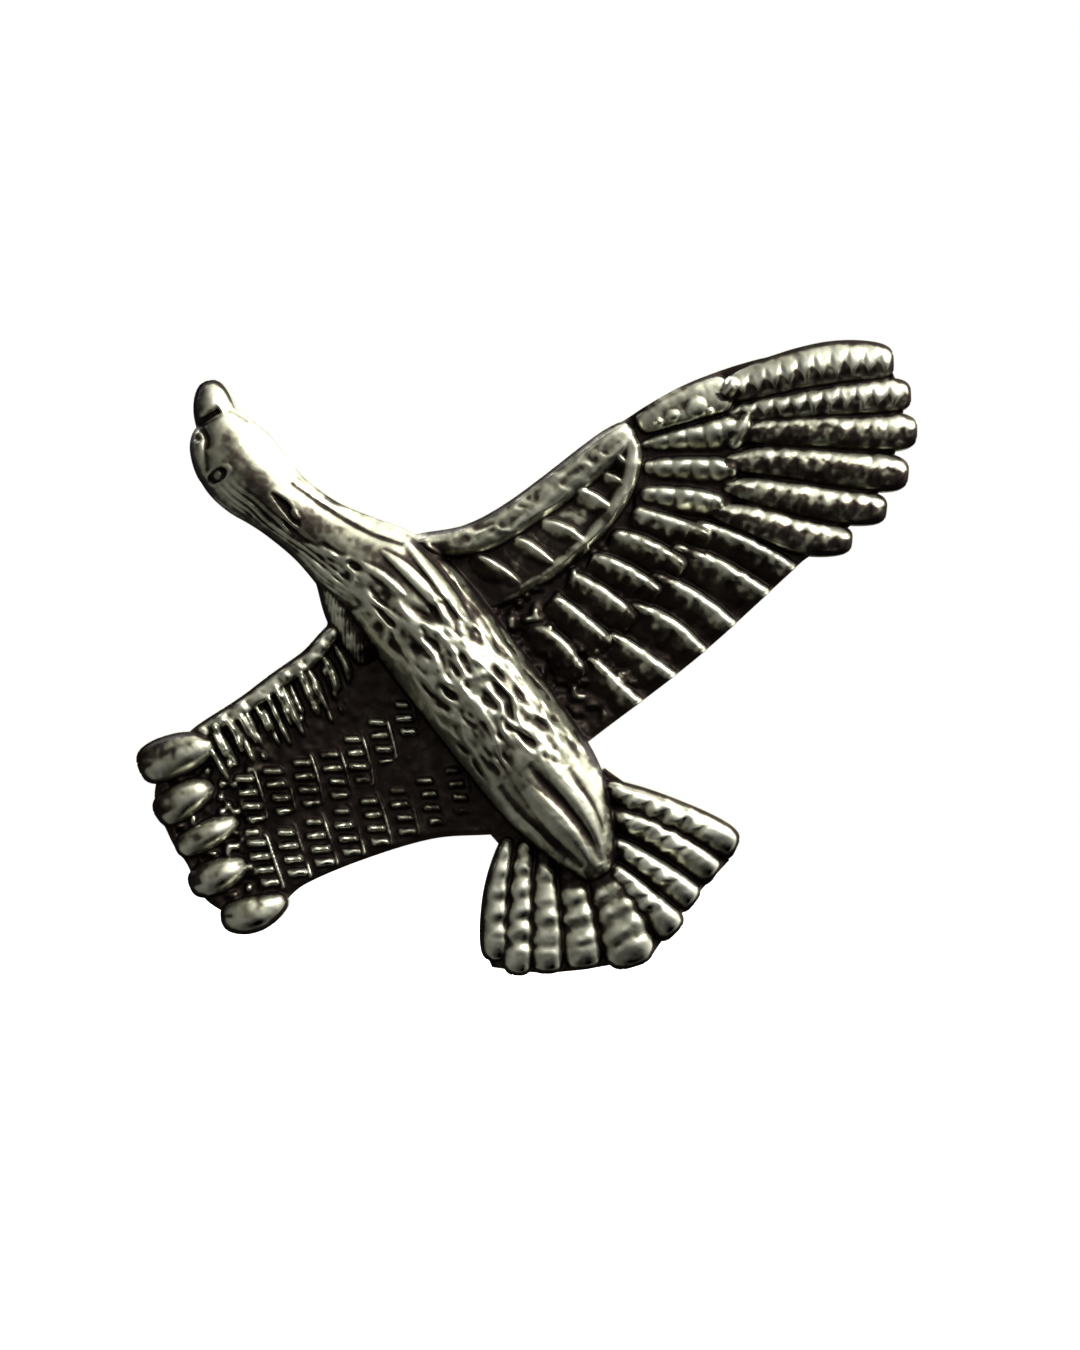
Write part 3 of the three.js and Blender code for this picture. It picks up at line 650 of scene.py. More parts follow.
TRUNK = [
    (-13.3, 15.35, 0.8, 2.6),
    (-13.2, 14.8, 1.4, 3.1),
    (-13.0, 14.0, 2.0, 3.45),
    (-12.7, 13.1, 2.35, 3.75),
    (-12.15, 12.1, 2.45, 3.9),
    (-11.4, 11.25, 2.35, 3.85),
    (-10.4, 10.4, 2.1, 3.65),
    (-9.3, 9.5, 1.95, 3.45),
    (-7.6, 8.2, 2.05, 3.4),
    (-5.7, 6.8, 2.6, 3.8),
    (-3.4, 5.15, 3.2, 4.5),
    (-1.2, 2.7, 3.45, 4.9),
    (1.2, -0.4, 3.45, 5.0),
    (3.6, -3.6, 3.4, 4.9),
    (5.65, -6.35, 3.25, 4.6),
    (7.25, -8.9, 2.6, 4.2),
    (8.75, -11.75, 1.5, 3.3),
]
NECK_STRAND = 0.4  # between the neck's strands
BODY_CELL = (1.05, 2.8)  # across and along, of the plumage network


def plumage(strip):
    """Long lens-shaped pits parted by wavy ridges, from the shoulders to the rump."""
    sway = noise(strip.along / 1.5, strip.arc / 1.0, 51) - 0.5
    shift = noise(strip.along / 1.3, strip.arc / 0.7, 52) - 0.5
    across = (strip.arc + 0.95 * sway) / BODY_CELL[0]
    along = (strip.along + 1.6 * shift) / BODY_CELL[1]
    first, border = cells(across, along, 21)
    ridge, pit = bell(border, 0.36), bell(first, 0.36)
    chosen = smoothstep(0.45, 0.55, hashed(np.floor(across), np.floor(along), 54))
    pellet = bell(first, 0.13) * chosen
    broken = smoothstep(0.15, 0.7, noise(strip.along / 0.9, strip.arc / 0.6, 55))
    chips = noise(strip.along / 0.5, strip.arc / 0.28, 56) - 0.5
    network = 0.16 * ridge * broken - (0.18 + 0.26 * broken) * pit + 0.15 * pellet + 0.18 * chips
    # It starts behind the shoulders, stays off their strands, and fades at the rump and on the right flank.
    shoulders = smoothstep(10.8, 13.4, strip.along + 2.6 * smoothstep(0.3, -0.4, strip.u))
    strands = 1 - smoothstep(-0.15, 0.1, strip.u) * (1 - smoothstep(16.0, 17.5, strip.along))
    finish = 26.4 + 1.9 * smoothstep(-0.1, 0.5, strip.u)
    rump = 1 - smoothstep(finish, finish + 1.5, strip.along)
    flank = 0.45 + 0.55 * smoothstep(-0.95, -0.5, strip.u)
    return network * shoulders * rump * strands * flank


def neck_strands(strip):
    """Fine strands along the throat and the side of the neck."""
    sway = 0.8 * noise(strip.along / 1.4, strip.arc / 0.5, 31)
    strands = np.cos(2 * math.pi * (strip.arc / NECK_STRAND + sway))
    neck = smoothstep(3.0, 5.5, strip.along) * (1 - smoothstep(11.5, 14.0, strip.along))
    throat = smoothstep(-0.15, -0.6, strip.u)
    return 0.11 * (strands - 0.6) * neck * throat


def groove(relief, stations):
    """A narrow groove with soft shoulders. Each station is x, z, half width, depth."""
    strip = Strip(relief, [(x, z, 3 * half, depth) for x, z, half, depth in stations], 6)
    width = strip.half / 3
    sharp, soft = bell(strip.across, width), bell(strip.across, 2.4 * width)
    relief.height[strip.area] -= strip.top * (0.65 * sharp + 0.35 * soft) * (np.abs(strip.u) < 1) * strip.end


def body(relief):
    flank = [(-9.0, 8.3, 0.9, 2.4), (-7.1, 6.3, 0.95, 2.4), (-6.05, 3.5, 1.1, 2.4), (-4.7, 0.6, 1.0, 2.1)]
    raise_strip(relief, flank, detail=both(lobes(0.5, 0.2, 2.0), dented(45, 0.2, 0.4)))
    raise_strip(relief, TRUNK, blunt=8, detail=lambda strip: plumage(strip) + neck_strands(strip))
    strands = [
        [(-3.9, 7.1, 0.32, 0.28), (-2.5, 6.0, 0.42, 0.38), (-0.8, 4.3, 0.42, 0.38), (0.4, 2.4, 0.32, 0.25)],
        [(-2.6, 7.7, 0.3, 0.28), (-1.3, 6.2, 0.4, 0.4), (0.2, 4.3, 0.4, 0.38), (1.5, 2.4, 0.3, 0.25)],
        [(-1.4, 7.6, 0.25, 0.25), (0.0, 6.1, 0.32, 0.34), (1.4, 4.3, 0.3, 0.3), (2.5, 2.8, 0.25, 0.2)],
        [(-5.2, 6.4, 0.25, 0.2), (-3.8, 5.6, 0.28, 0.26), (-2.4, 4.4, 0.25, 0.2)],
        [(5.2, -4.6, 0.4, 0.03), (7.8, -7.9, 0.6, 0.18), (8.8, -10.0, 0.4, 0.1)],
        [(3.5, -5.6, 0.4, 0.03), (6.6, -9.0, 0.7, 0.2), (8.2, -11.0, 0.5, 0.1)],
        [(2.6, -7.2, 0.4, 0.03), (5.2, -10.0, 0.6, 0.15), (6.9, -11.5, 0.4, 0.1)],
    ]
    for stations in strands:
        emboss(relief, stations)
    grooves = [
        [(4.6, -5.2, 0.2, 0.1), (5.6, -6.4, 0.3, 0.3), (7.6, -8.6, 0.28, 0.3), (8.8, -10.9, 0.2, 0.15)],
        [(2.9, -6.4, 0.2, 0.1), (3.9, -7.7, 0.28, 0.25), (5.9, -9.6, 0.28, 0.3), (7.7, -11.2, 0.2, 0.15)],
        [(6.9, -5.4, 0.15, 0.1), (8.2, -7.4, 0.2, 0.18), (9.0, -9.2, 0.15, 0.1)],
    ]
    for stations in grooves:
        groove(relief, stations)
    head(relief)


def head(relief):
    beak = [(-13.0, 13.5, 1.3, 2.5), (-13.55, 15.0, 1.2, 2.75), (-13.9, 16.95, 0.9, 2.0)]
    raise_strip(relief, beak, blunt=2.8)
    cheek = [(-14.2, 14.4, 0.6, 2.9), (-14.2, 12.9, 0.75, 3.05), (-13.6, 10.9, 0.8, 2.95)]
    raise_strip(relief, cheek, blunt=3)
    groove(relief, [(-14.9, 14.3, 0.13, 0.4), (-14.0, 14.75, 0.14, 0.45), (-13.2, 15.2, 0.14, 0.45)])
    groove(relief, [(-14.5, 14.3, 0.14, 0.3), (-13.9, 13.6, 0.14, 0.3), (-13.9, 12.9, 0.12, 0.15)])
    emboss(relief, [(-14.6, 13.8, 0.22, -0.25), (-14.3, 13.3, 0.22, -0.25)])
    eye, along = np.array([-13.3, 11.4]), np.array([0.5, -0.87])
    for length, size, height, power in ((0.5, 0.95, 0.1, 3), (0.38, 0.66, -0.5, 2), (0.3, 0.32, 0.4, 2)):
        emboss(relief, [(*(eye + way * length * along), size, height) for way in (-1, 1)], power)
    shade(relief, [(-13.15, 11.65), (-13.4, 11.15)], 0.5, 0.4)
    for stations in (
        [(-10.2, 10.4, 0.2, -0.25), (-9.4, 9.6, 0.28, -0.4), (-8.5, 8.4, 0.24, -0.3)],
        [(-9.2, 9.5, 0.2, 0.3), (-8.6, 8.8, 0.26, 0.4)],
        [(-9.6, 8.9, 0.16, -0.2), (-8.9, 8.1, 0.2, -0.25), (-8.0, 7.4, 0.16, -0.2)],
    ):
        emboss(relief, stations)
    nape = [(-9.1, 11.0, 0.09, 0.15), (-7.0, 9.5, 0.11, 0.28), (-4.6, 8.1, 0.11, 0.25),
            (-2.6, 7.4, 0.1, 0.15)]
    groove(relief, nape)


def darken(relief):
    """Painted shade and painted highlight for the light from the upper right, and in places the antique
    black: darker round each line of points, and lighter where the amount is negative.
    """
    # Most rows paint shade where the surface turns from the light: over the head, neck, body and rump, along
    # the right arm's leading edge and on the left wing's tips. The rows at the right wing's root and over the
    # left wing's inside are painted shade and antique black together. Rows with a negative amount paint
    # highlight: on the upper right edge of the head and neck, on the left wing's strokes and on the lower
    # left of the neck.
    for points, amount, reach in (
        ([(-0.5, 6.3), (3.2, 3.0), (6, -0.8), (8.2, -3.2)], 0.9, 1.9),
        ([(4, 6.5), (8, 3.0), (12, 3)], 0.35, 2.5),
        ([(-4.6, 0.5), (-8, -3.5), (-10, -6), (-6, -7), (0, -7)], 0.9, 2.8),
        ([(-13.6, 9.9), (-10, 7.9), (-8, 6), (-7, 3.2)], -0.2, 0.8),
        ([(-12.9, 13.4), (-11.8, 11.4), (-10.2, 9.6), (-8.4, 8.0)], 0.4, 0.9),
        ([(-13.7, 15.0), (-12.9, 12.6), (-11, 10.2), (-8.6, 8.3)], 0.3, 1.6),
        ([(-14.6, 14.0), (-14.3, 12.4), (-13.6, 10.7)], 0.35, 0.7),
        ([(-10.0, 10.4), (-7.0, 8.2), (-4.0, 6.4)], 0.4, 1.4),
        ([(5.4, -6.4), (7.0, -8.8), (8.4, -11.4)], 0.35, 2.2),
        ([(7.6, -5.4), (8.6, -7.6), (9.2, -9.6)], 0.2, 0.9),
        ([(1.5, -3.5), (4.2, -7.2), (6.8, -10.9)], 0.35, 1.2),
        ([(-5.2, 1.6), (-2.6, -1.8), (1, -6.2), (4.6, -10.2)], 0.25, 0.6),
        ([(8.9, -11.6), (7.2, -12.0), (4.5, -10.5)], 0.6, 0.8),
        ([(9.8, -7.2), (9.9, -9), (9.6, -10.8)], 0.5, 0.6),
        ([(0, 7.7), (4, 9.3), (8, 12.2), (9.8, 13.5)], 0.45, 1.0),
        ([(11.5, 14.6), (13.5, 15.4), (15.4, 16.1)], 0.2, 1.0),
        ([(-7.5, 0.2), (-10.5, -2.5), (-13.2, -4.8)], -0.2, 1.3),
        ([(-7.6, 9.6), (-5.6, 8.3), (-3.6, 7.4)], 0.4, 1.2),
        ([(-12.7, 14.4), (-12.2, 12.9), (-11.0, 11.4)], 0.25, 1.0),
        ([(-14.6, 17.2), (-14.5, 16.2), (-14.4, 15.3)], 0.6, 0.5),
        ([(-13.1, 16.8), (-12.6, 15.4), (-10.9, 13.7), (-9.1, 11.8), (-6.8, 9.8), (-4.4, 8.8), (-2, 8)],
         -1.0, 0.55),
        ([(-18.2, -6.0), (-17.2, -8.7), (-16.3, -10.6), (-15.4, -12.8), (-13.4, -14.8)], 0.45, 1.1),
    ):
        shade(relief, points, amount, reach)


# ---------------------------------------------------------------- from the height map to a mesh

def model_relief():
    relief = Relief((-19.2, -18.4), (28.0, 20.2))
    right_wing(relief)
    left_wing(relief)
    tail(relief)
    body(relief)
    darken(relief)
    grain = relief.noise(0.24, 40) + 1.6 * relief.noise(0.6, 41)
    relief.height += 0.028 * (grain - 1.3)
    mask = relief.inside > -STEP
    relief.height = np.maximum(relief.height, WALL)
    relief.height = blurred(relief.height, mask, SOFTNESS)
    edge = smoothstep(0.3, 0.05, relief.inside)
    relief.height += edge * (blurred(relief.height, mask, 4 * SOFTNESS) - relief.height)
    return relief


def tone(relief):
    """Dark where the relief is hollow, as the antique black, and polished where it stands proud; the painted
    shade and highlight are added to both.
    """
    mask = relief.inside > 0
    # How far a point lies below the metal next to it, and below that further round.
    fine = blurred(relief.height, mask, 0.16) - relief.height
    broad = blurred(relief.height, mask, 0.55) - relief.height
    around = blurred(relief.height, mask, 0.35)
    # The rounded edge of a high part, such as the body, is not a hollow.
    border = 1 - (1 - smoothstep(0.05, 0.5, relief.inside)) * (0.15 + 0.8 * smoothstep(1.7, 2.4, around))
    low = smoothstep(1.65, 1.15, border * relief.height + (1 - border) * around)
    mottle = relief.noise(0.5, 43) + relief.noise(0.23, 44) - 1
    hollow = 0.5 * fine / 0.05 + 0.6 * broad / 0.22
    calm = smoothstep(2.6, 3.3, around)  # the body is less blotchy than the wings
    hollow = np.where(hollow > 0, border * hollow, np.maximum(hollow, -0.7)) + (0.5 - 0.38 * calm) * mottle
    # Both values carry the painted shade and highlight as well as the hollows' antique black and the rubbed
    # high points.
    relief.patina = smoothstep(-0.45, 1.05, hollow + 0.75 * low + relief.painted_light_and_antiquing)
    relief.polish = smoothstep(0.25, 1.3, -hollow - 0.6 * relief.painted_light_and_antiquing)


def clipped_triangles(relief):
    """The height map as triangles, cut off along the outline. Returns the points, as x, z, height, the dark
    tone of antique black and painted shade, the light tone of rubbing and painted highlight, and the faces."""
    size = relief.x.size
    index = np.arange(size).reshape(relief.x.shape)
    a, b = index[:-1, :-1].ravel(), index[:-1, 1:].ravel()
    c, d = index[1:, 1:].ravel(), index[1:, :-1].ravel()
    columns = (relief.x, relief.z, relief.height, relief.patina, relief.polish)
    fields = np.stack([column.ravel() for column in columns], 1)
    height, inside = fields[:, 2], relief.inside.ravel()
    falling = (np.abs(height[a] - height[c]) < np.abs(height[b] - height[d]))[:, None]
    triangles = np.vstack([
        np.where(falling, np.stack([a, b, c], 1), np.stack([a, b, d], 1)),
        np.where(falling, np.stack([a, c, d], 1), np.stack([b, c, d], 1)),
    ])
    keep = inside > 0
    count = keep[triangles].sum(1)

    def odd_first(kept):
        """The triangles with that many corners inside, each turned so that its odd corner comes first."""
        chosen = triangles[count == kept]
        odd = np.argmax(keep[chosen] == (kept == 1), 1)
        return np.take_along_axis(chosen, (odd[:, None] + np.arange(3)) % 3, 1)

    one, two = odd_first(1), odd_first(2)
    pairs = np.vstack([one[:, [0, 1]], one[:, [0, 2]], two[:, [1, 0]], two[:, [2, 0]]])
    keys, crossing = np.unique(pairs[:, 0] * size + pairs[:, 1], return_inverse=True)
    start, stop = keys // size, keys % size
    # Never quite at either corner, so that no triangle is a sliver.
    share = np.clip(inside[start] / (inside[start] - inside[stop]), 0.02, 0.98)[:, None]
    border = fields[start] * (1 - share) + fields[stop] * share
    borders = np.split(size + crossing.ravel(), np.cumsum([len(one), len(one), len(two)]))
    faces = np.vstack([
        triangles[count == 3],
        np.stack([one[:, 0], borders[0], borders[1]], 1),
        np.stack([borders[2], two[:, 1], two[:, 2]], 1),
        np.stack([borders[2], two[:, 2], borders[3]], 1),
    ])
    used, faces = np.unique(faces, return_inverse=True)
    return np.vstack([fields, border])[used], faces.reshape(-1, 3)


def rims(faces):
    """The open edges of a triangle mesh, each in its triangle's own direction."""
    edges = np.vstack([faces[:, [0, 1]], faces[:, [1, 2]], faces[:, [2, 0]]])
    size = faces.max() + 1
    keys = edges[:, 0] * size + edges[:, 1]
    twins = edges[:, 1] * size + edges[:, 0]
    return edges[~np.isin(keys, twins)]


def band(upper, lower):
    """The triangles between two rows of edges that run the same way."""
    return np.vstack([
        np.column_stack([upper[:, 1], upper[:, 0], lower[:, 0]]),
        np.column_stack([upper[:, 1], lower[:, 0], lower[:, 1]]),
    ])


def seat_rim(seat):
    turn = 2 * math.pi * np.arange(SEAT_CORNERS) / SEAT_CORNERS
    return np.stack([seat[0] + SEAT_RADIUS * np.cos(turn), seat[1] + SEAT_RADIUS * np.sin(turn)], 1)


def back_triangles(points, edges):
    """The flat back: everything inside the outline, and the seats, as two sets of triangles."""
    low, high = points.min(0), points.max(0)
    xs, zs = np.meshgrid(np.arange(low[0], high[0], BACK_PITCH), np.arange(low[1], high[1], BACK_PITCH))
    loose = np.stack([xs.ravel(), zs.ravel()], 1)
    clear = np.ones(len(loose), bool)
    for place in points[edges].mean(1):
        clear &= np.hypot(*(loose - place).T) > OUTLINE_CLEAR
    for seat in SEATS:
        clear &= np.abs(np.hypot(*(loose - seat).T) - SEAT_RADIUS) > SEAT_CLEAR
    coordinates = np.vstack([points, *map(seat_rim, SEATS), loose[clear]])
    constraints = [tuple(map(int, edge)) for edge in edges]
    for start in range(len(points), len(points) + len(SEATS) * SEAT_CORNERS, SEAT_CORNERS):
        constraints += [(start + i, start + (i + 1) % SEAT_CORNERS) for i in range(SEAT_CORNERS)]
    inside_only = 1  # leaves out the triangles beyond the outline
    found, _, faces, originals, _, _ = geometry.delaunay_2d_cdt(
        [Vector(place) for place in coordinates], constraints, [], inside_only, 1e-7)
    found = np.array([tuple(p) for p in found])
    faces = facing_back(found, np.array([list(face) for face in faces]))
    centres = found[faces].mean(1)
    flat_radius = SEAT_RADIUS * math.cos(math.pi / SEAT_CORNERS)  # to the middle of a rim's edge
    in_seat = np.any([np.hypot(*(centres - seat).T) < flat_radius for seat in SEATS], 0)
    return found, faces[~in_seat], faces[in_seat], originals


def facing_back(found, faces):
    """The same flat triangles, each turned to face away from the relief."""
    a, b, c = found[faces[:, 0]], found[faces[:, 1]], found[faces[:, 2]]
    area = (b[:, 0] - a[:, 0]) * (c[:, 1] - a[:, 1]) - (b[:, 1] - a[:, 1]) * (c[:, 0] - a[:, 0])
    return np.where((area > 0)[:, None], faces[:, ::-1], faces)


def outline_normals(points, edges, border):
    """A unit vector out of the outline at each border point."""
    normals = np.zeros((len(points), 2))
    span = points[edges[:, 1], :2] - points[edges[:, 0], :2]
    out = np.column_stack([span[:, 1], -span[:, 0]])
    np.add.at(normals, edges[:, 0], out)
    np.add.at(normals, edges[:, 1], out)
    normals = normals[border]
    return normals / np.maximum(np.hypot(*normals.T), 1e-9)[:, None]


def placed(name, data):
    """A new object in the scene."""
    made = bpy.data.objects.new(name, data)
    bpy.context.collection.objects.link(made)
    return made


def build_casting():
    relief = model_relief()
    tone(relief)
    points, faces = clipped_triangles(relief)
    edges = rims(faces)
    border = np.unique(edges)
    count = len(border)
    rank = np.full(len(points), -1)
    rank[border] = np.arange(count)
    outward = outline_normals(points, edges, border)

    # Rings down the wall, as height and distance out of the outline: a rounded shoulder, a plain wall
    # with a little draft, and a rounded foot.
    top = points[border, 2]
    rings = [(top - 0.35 * SHOULDER, 0.02), (top - SHOULDER, 0.045),
             (FOOT, 0.06), (0.25 * FOOT, 0.04), (0.0, 0.0)]
    places, triangles = [points[:, :3]], [faces]
    start, upper = len(points), edges
    for level, out in rings:
        ring = points[border, :2] + out * outward
        places.append(np.column_stack([ring, np.broadcast_to(level, count)]))
        lower = start + rank[edges]
        triangles.append(band(upper, lower))
        start, upper = start + count, lower

    # The back's outline is the last ring. Its other points are new, and so are those of the seats' floors.
    found, flat, seats, originals = back_triangles(ring, rank[edges])
    on_back, on_floor = np.zeros(len(found), int), np.zeros(len(found), int)
    fresh = []
    for i, sources in enumerate(originals):
        mine = [source for source in sources if source < count]
        on_back[i] = start - count + mine[0] if mine else start + len(fresh)
        if not mine:
            fresh.append((*found[i], 0.0))
    seat_points = np.unique(seats)
    on_floor[seat_points] = start + len(fresh) + np.arange(len(seat_points))
    fresh += [(*found[i], SEAT_DEPTH) for i in seat_points]
    seat_rims = rims(seats)
    triangles += [on_back[flat], on_floor[seats], band(on_floor[seat_rims], on_back[seat_rims])]

    places = np.vstack([*places, fresh])
    # The first two columns also carry the painted shade and highlight.
    tones = np.vstack([  # patina, polish and roughness, of the relief, the wall and the back
        np.column_stack([points[:, 3:], np.zeros(len(points))]),
        np.tile([0.4, 0.0, 0.6], (len(rings) * count, 1)),
        np.tile([0.35, 0.0, 1.0], (len(fresh), 1)),
    ])
    corners = np.column_stack([places[:, 0] + CENTRE.x, -places[:, 2], places[:, 1] + CENTRE.z]) * MM
    mesh = bpy.data.meshes.new("goose_casting")
    mesh.from_pydata(corners.tolist(), [], np.vstack(triangles).tolist())
    mesh.validate()
    for name, values in zip(("patina", "polish", "rough_cast"), tones.T):
        mesh.attributes.new(name, "FLOAT", "POINT").data.foreach_set("value", values.astype(np.float32))
    mesh.polygons.foreach_set("use_smooth", np.ones(len(mesh.polygons), bool))
    sharpen(mesh, np.abs(places[:, 2]) < 1e-9)
    return placed("goose_casting", mesh)


def sharpen(mesh, flat_back, crease=0.6):
    """Keeps the back's edges crisp under smooth shading."""
    bm = bmesh.new()
    bm.from_mesh(mesh)
    for edge in bm.edges:
        if all(flat_back[corner.index] for corner in edge.verts) and edge.calc_face_angle(0) > crease:
            edge.smooth = False
    bm.to_mesh(mesh)
    bm.free()


casting = build_casting()
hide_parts("bird_casting")
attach(casting, "badge")


# ---------------------------------------------------------------- materials

def material(name):
    made = bpy.data.materials.new(name)
    made.use_nodes = True
    tree = made.node_tree
    return made, tree, tree.nodes["Principled BSDF"]


def feed(tree, node, inputs):
    """Sets a node's inputs, which are given by name or number, or links them to another node's output."""
    for key, value in inputs.items():
        if isinstance(value, bpy.types.NodeSocket):
            tree.links.new(value, node.inputs[key])
        else:
            node.inputs[key].default_value = value


def add(tree, kind, *inputs, **settings):
    """A new node. inputs go into its sockets in order, and settings are named sockets or properties."""
    node = tree.nodes.new("ShaderNode" + kind)
    for key, value in settings.items():
        if key in node.inputs:
            feed(tree, node, {key: value})
        else:
            setattr(node, key, value)
    feed(tree, node, dict(enumerate(inputs)))
    return node


def maths(tree, operation, *values, **settings):
    return add(tree, "Math", *values, operation=operation, **settings).outputs[0]


def speckle(tree, place, **settings):
    return add(tree, "TexNoise", Vector=place, **settings).outputs["Fac"]


def bumped(tree, height, strength, distance, **under):
    """A normal for a height, on top of another normal if one is given."""
    return add(tree, "Bump", Height=height, Strength=strength, Distance=distance, **under).outputs[0]


def mixed(tree, share, first, second):
    """A colour that goes from the first to the second as share goes from 0 to 1."""
    node = add(tree, "Mix", data_type="RGBA", Factor=share)
    feed(tree, node, {6: first, 7: second})  # the colours' sockets, after those for numbers and vectors
    return node.outputs[2]


def pewter():
    made, tree, shader = material("antiqued_pewter")
    place = add(tree, "TexCoord").outputs["Object"]
    patina, polish, cast = [add(tree, "Attribute", attribute_name=name).outputs["Fac"]
                            for name in ("patina", "polish", "rough_cast")]
    blotch = speckle(tree, place, Scale=900.0, Detail=4.0)
    total = maths(tree, "ADD", patina, maths(tree, "MULTIPLY_ADD", blotch, 0.5, -0.25), use_clamp=True)

    # The colour ramp runs from bare pewter to the antique black, which here also stands for painted shade.
    colour = add(tree, "ValToRGB", total)
    ramp = colour.color_ramp
    ramp.elements[0].position, ramp.elements[0].color = 0.0, (0.58, 0.58, 0.46, 1)
    ramp.elements[1].position, ramp.elements[1].color = 1.0, (0.022, 0.016, 0.014, 1)
    for position, tint in ((0.35, (0.36, 0.355, 0.265, 1)), (0.7, (0.085, 0.072, 0.055, 1))):
        ramp.elements.new(position).color = tint
    rough = add(tree, "MapRange", total, 0.0, 1.0, 0.34, 0.55).outputs[0]
    grain = speckle(tree, place, Scale=6500.0, Detail=3.0)
    sand = speckle(tree, place, Scale=2600.0, Detail=5.0, Roughness=0.7)
    fine = bumped(tree, grain, 0.25, 0.00003)
    # Lighter towards a pale pewter where the relief is rubbed and where highlight is painted.
    feed(tree, shader, {
        "Base Color": mixed(tree, polish, colour.outputs["Color"], (0.82, 0.82, 0.71, 1)),
        "Metallic": 1.0,
        "Roughness": maths(tree, "MULTIPLY_ADD", cast, 0.12, rough),
        "Normal": bumped(tree, maths(tree, "MULTIPLY", sand, cast), 0.5, 0.00005, Normal=fine),
    })
    return made


casting.data.materials.append(pewter())


def plain_metal(name, colour, roughness, tarnish, scratch_scale=3000.0):
    """Sheet or wire metal with patchy tarnish and fine scratches."""
    made, tree, shader = material(name)
    place = add(tree, "TexCoord").outputs["Object"]
    patches = speckle(tree, place, Scale=420.0, Detail=5.0)
    level = add(tree, "MapRange", patches, 0.42, 0.75).outputs[0]
    stretched = add(tree, "Mapping", Vector=place, Scale=(1.0, 0.08, 0.35)).outputs[0]
    scratches = speckle(tree, stretched, Scale=scratch_scale, Detail=3.0)
    feed(tree, shader, {
        "Base Color": mixed(tree, level, (*colour, 1), (*tarnish, 1)),
        "Metallic": 1.0,
        "Roughness": add(tree, "MapRange", patches, 0.0, 1.0, roughness, roughness + 0.25).outputs[0],
        "Normal": bumped(tree, scratches, 0.15, 0.00003),
    })
    return made


FINISH = {
    "nickel": plain_metal("nickel_plating", (0.68, 0.66, 0.61), 0.18, (0.42, 0.39, 0.34)),
    "solder": plain_metal("tin_solder", (0.55, 0.55, 0.54), 0.35, (0.3, 0.3, 0.3), 1500.0),
    "brass": plain_metal("stamped_brass", (0.83, 0.58, 0.24), 0.22, (0.5, 0.31, 0.11)),
    "spring_brass": plain_metal("spring_brass", (0.86, 0.63, 0.29), 0.2, (0.55, 0.36, 0.14)),
}


# ---------------------------------------------------------------- posts and clutches

# Profiles are (radius, distance behind the badge) in millimetres round a post's axis.
PAD_FOOT, PAD_TOP = -0.18, 0.32
PAD_RADIUS, PAD_HOLE = 3.0, 0.62
CLOTH = 2.2  # how far behind the badge a clutch rests
DOME_RADIUS = 2.6  # of the keeper
WINDOW = (0.9, 1.71, 3.1)  # of the keeper: bottom, top and width
SHEET = 0.25  # the sprung strips' thickness
SHEET_EDGE = 0.09  # radius of their long edges
BLADE_END, BLADE_HALF, WING_HALF = -1.635, 1.3, 2.3
BLADE_CORNER, WING_CORNER = 0.5, 0.8
BLADE_TO_WING = (4.65, 5.1)  # where a strip widens, along it from the blade's end
SPRING_LEVELS = {"left": 1.0, "right": 1.36}  # of the blades' undersides, behind the base
NECK_LEVEL = 1.12  # of both strips outside the keeper
LOOP = [(4.5, 1.15), (5.65, 1.85), (6.0, 2.9), (5.5, 4.15), (4.5, 4.85), (3.5, 4.7), (2.6, 3.9),
        (2.5, 3.2)]
SLOT_RADIUS, SLOT_SHIFT = 0.635, 0.5  # the oval hole that a blade bites the post with
CREASE = math.radians(35)  # edges sharper than this stay sharp under smooth shading

POST_PROFILE = [(0, PAD_FOOT), (0.575, PAD_FOOT), (0.575, 5.3), (0.45, 5.42), (0.45, 5.78), (0.575, 5.9),
                (0.575, 7.1), (0.3, 7.8), (0.12, 8.2), (0, 8.2)]
PAD_PROFILE = [(PAD_HOLE, PAD_FOOT), (PAD_RADIUS, PAD_FOOT), (PAD_RADIUS, PAD_TOP - 0.12),
               (PAD_RADIUS - 0.12, PAD_TOP), (1.5, PAD_TOP), (1.3, PAD_TOP - 0.06),
               (PAD_HOLE, PAD_TOP - 0.06)]
SOLDER_PROFILE = [(3.02, PAD_FOOT), (3.42, PAD_FOOT), (3.26, PAD_FOOT + 0.06), (3.14, PAD_FOOT + 0.14),
                  (3.06, PAD_FOOT + 0.25), (3.02, PAD_FOOT + 0.35)]
BASE_PROFILE = [(0.72, 0.45), (2.2, 0), (5.25, 0), (5.58, 0.15), (5.7, 0.45), (5.7, 0.68), (5.5, 0.98),
                (5.1, 0.98), (5.1, 0.7), (5.38, 0.66), (5.4, 0.45), (5.2, 0.3), (2.3, 0.3), (0.72, 0.75)]
KEEPER_PROFILE = [(2.35, 0.32), (5.15, 0.32), (5.15, 0.57), (2.75, 0.57), (2.6, 0.77), (DOME_RADIUS, 1.8),
                  (2.1, 2.3), (0.8, 2.3), (0.8, 2.05), (2.0, 2.05), (2.35, 1.7)]


def filleted(corners, radius, steps=4):
    """A closed profile with every corner off the axis rounded."""
    corners = np.asarray(corners, float)
    points = []
    for before, corner, after in zip(np.roll(corners, 1, 0), corners, np.roll(corners, -1, 0)):
        if corner[0] == 0:
            points.append(corner)
            continue
        arms = []
        for other in (before, after):
            length = np.hypot(*(other - corner))
            arms.append((other - corner) * min(radius / length, 0.45))
        for share in np.linspace(0, 1, steps + 1):
            points.append(corner + (1 - share) ** 2 * arms[0] + share ** 2 * arms[1])
    return points


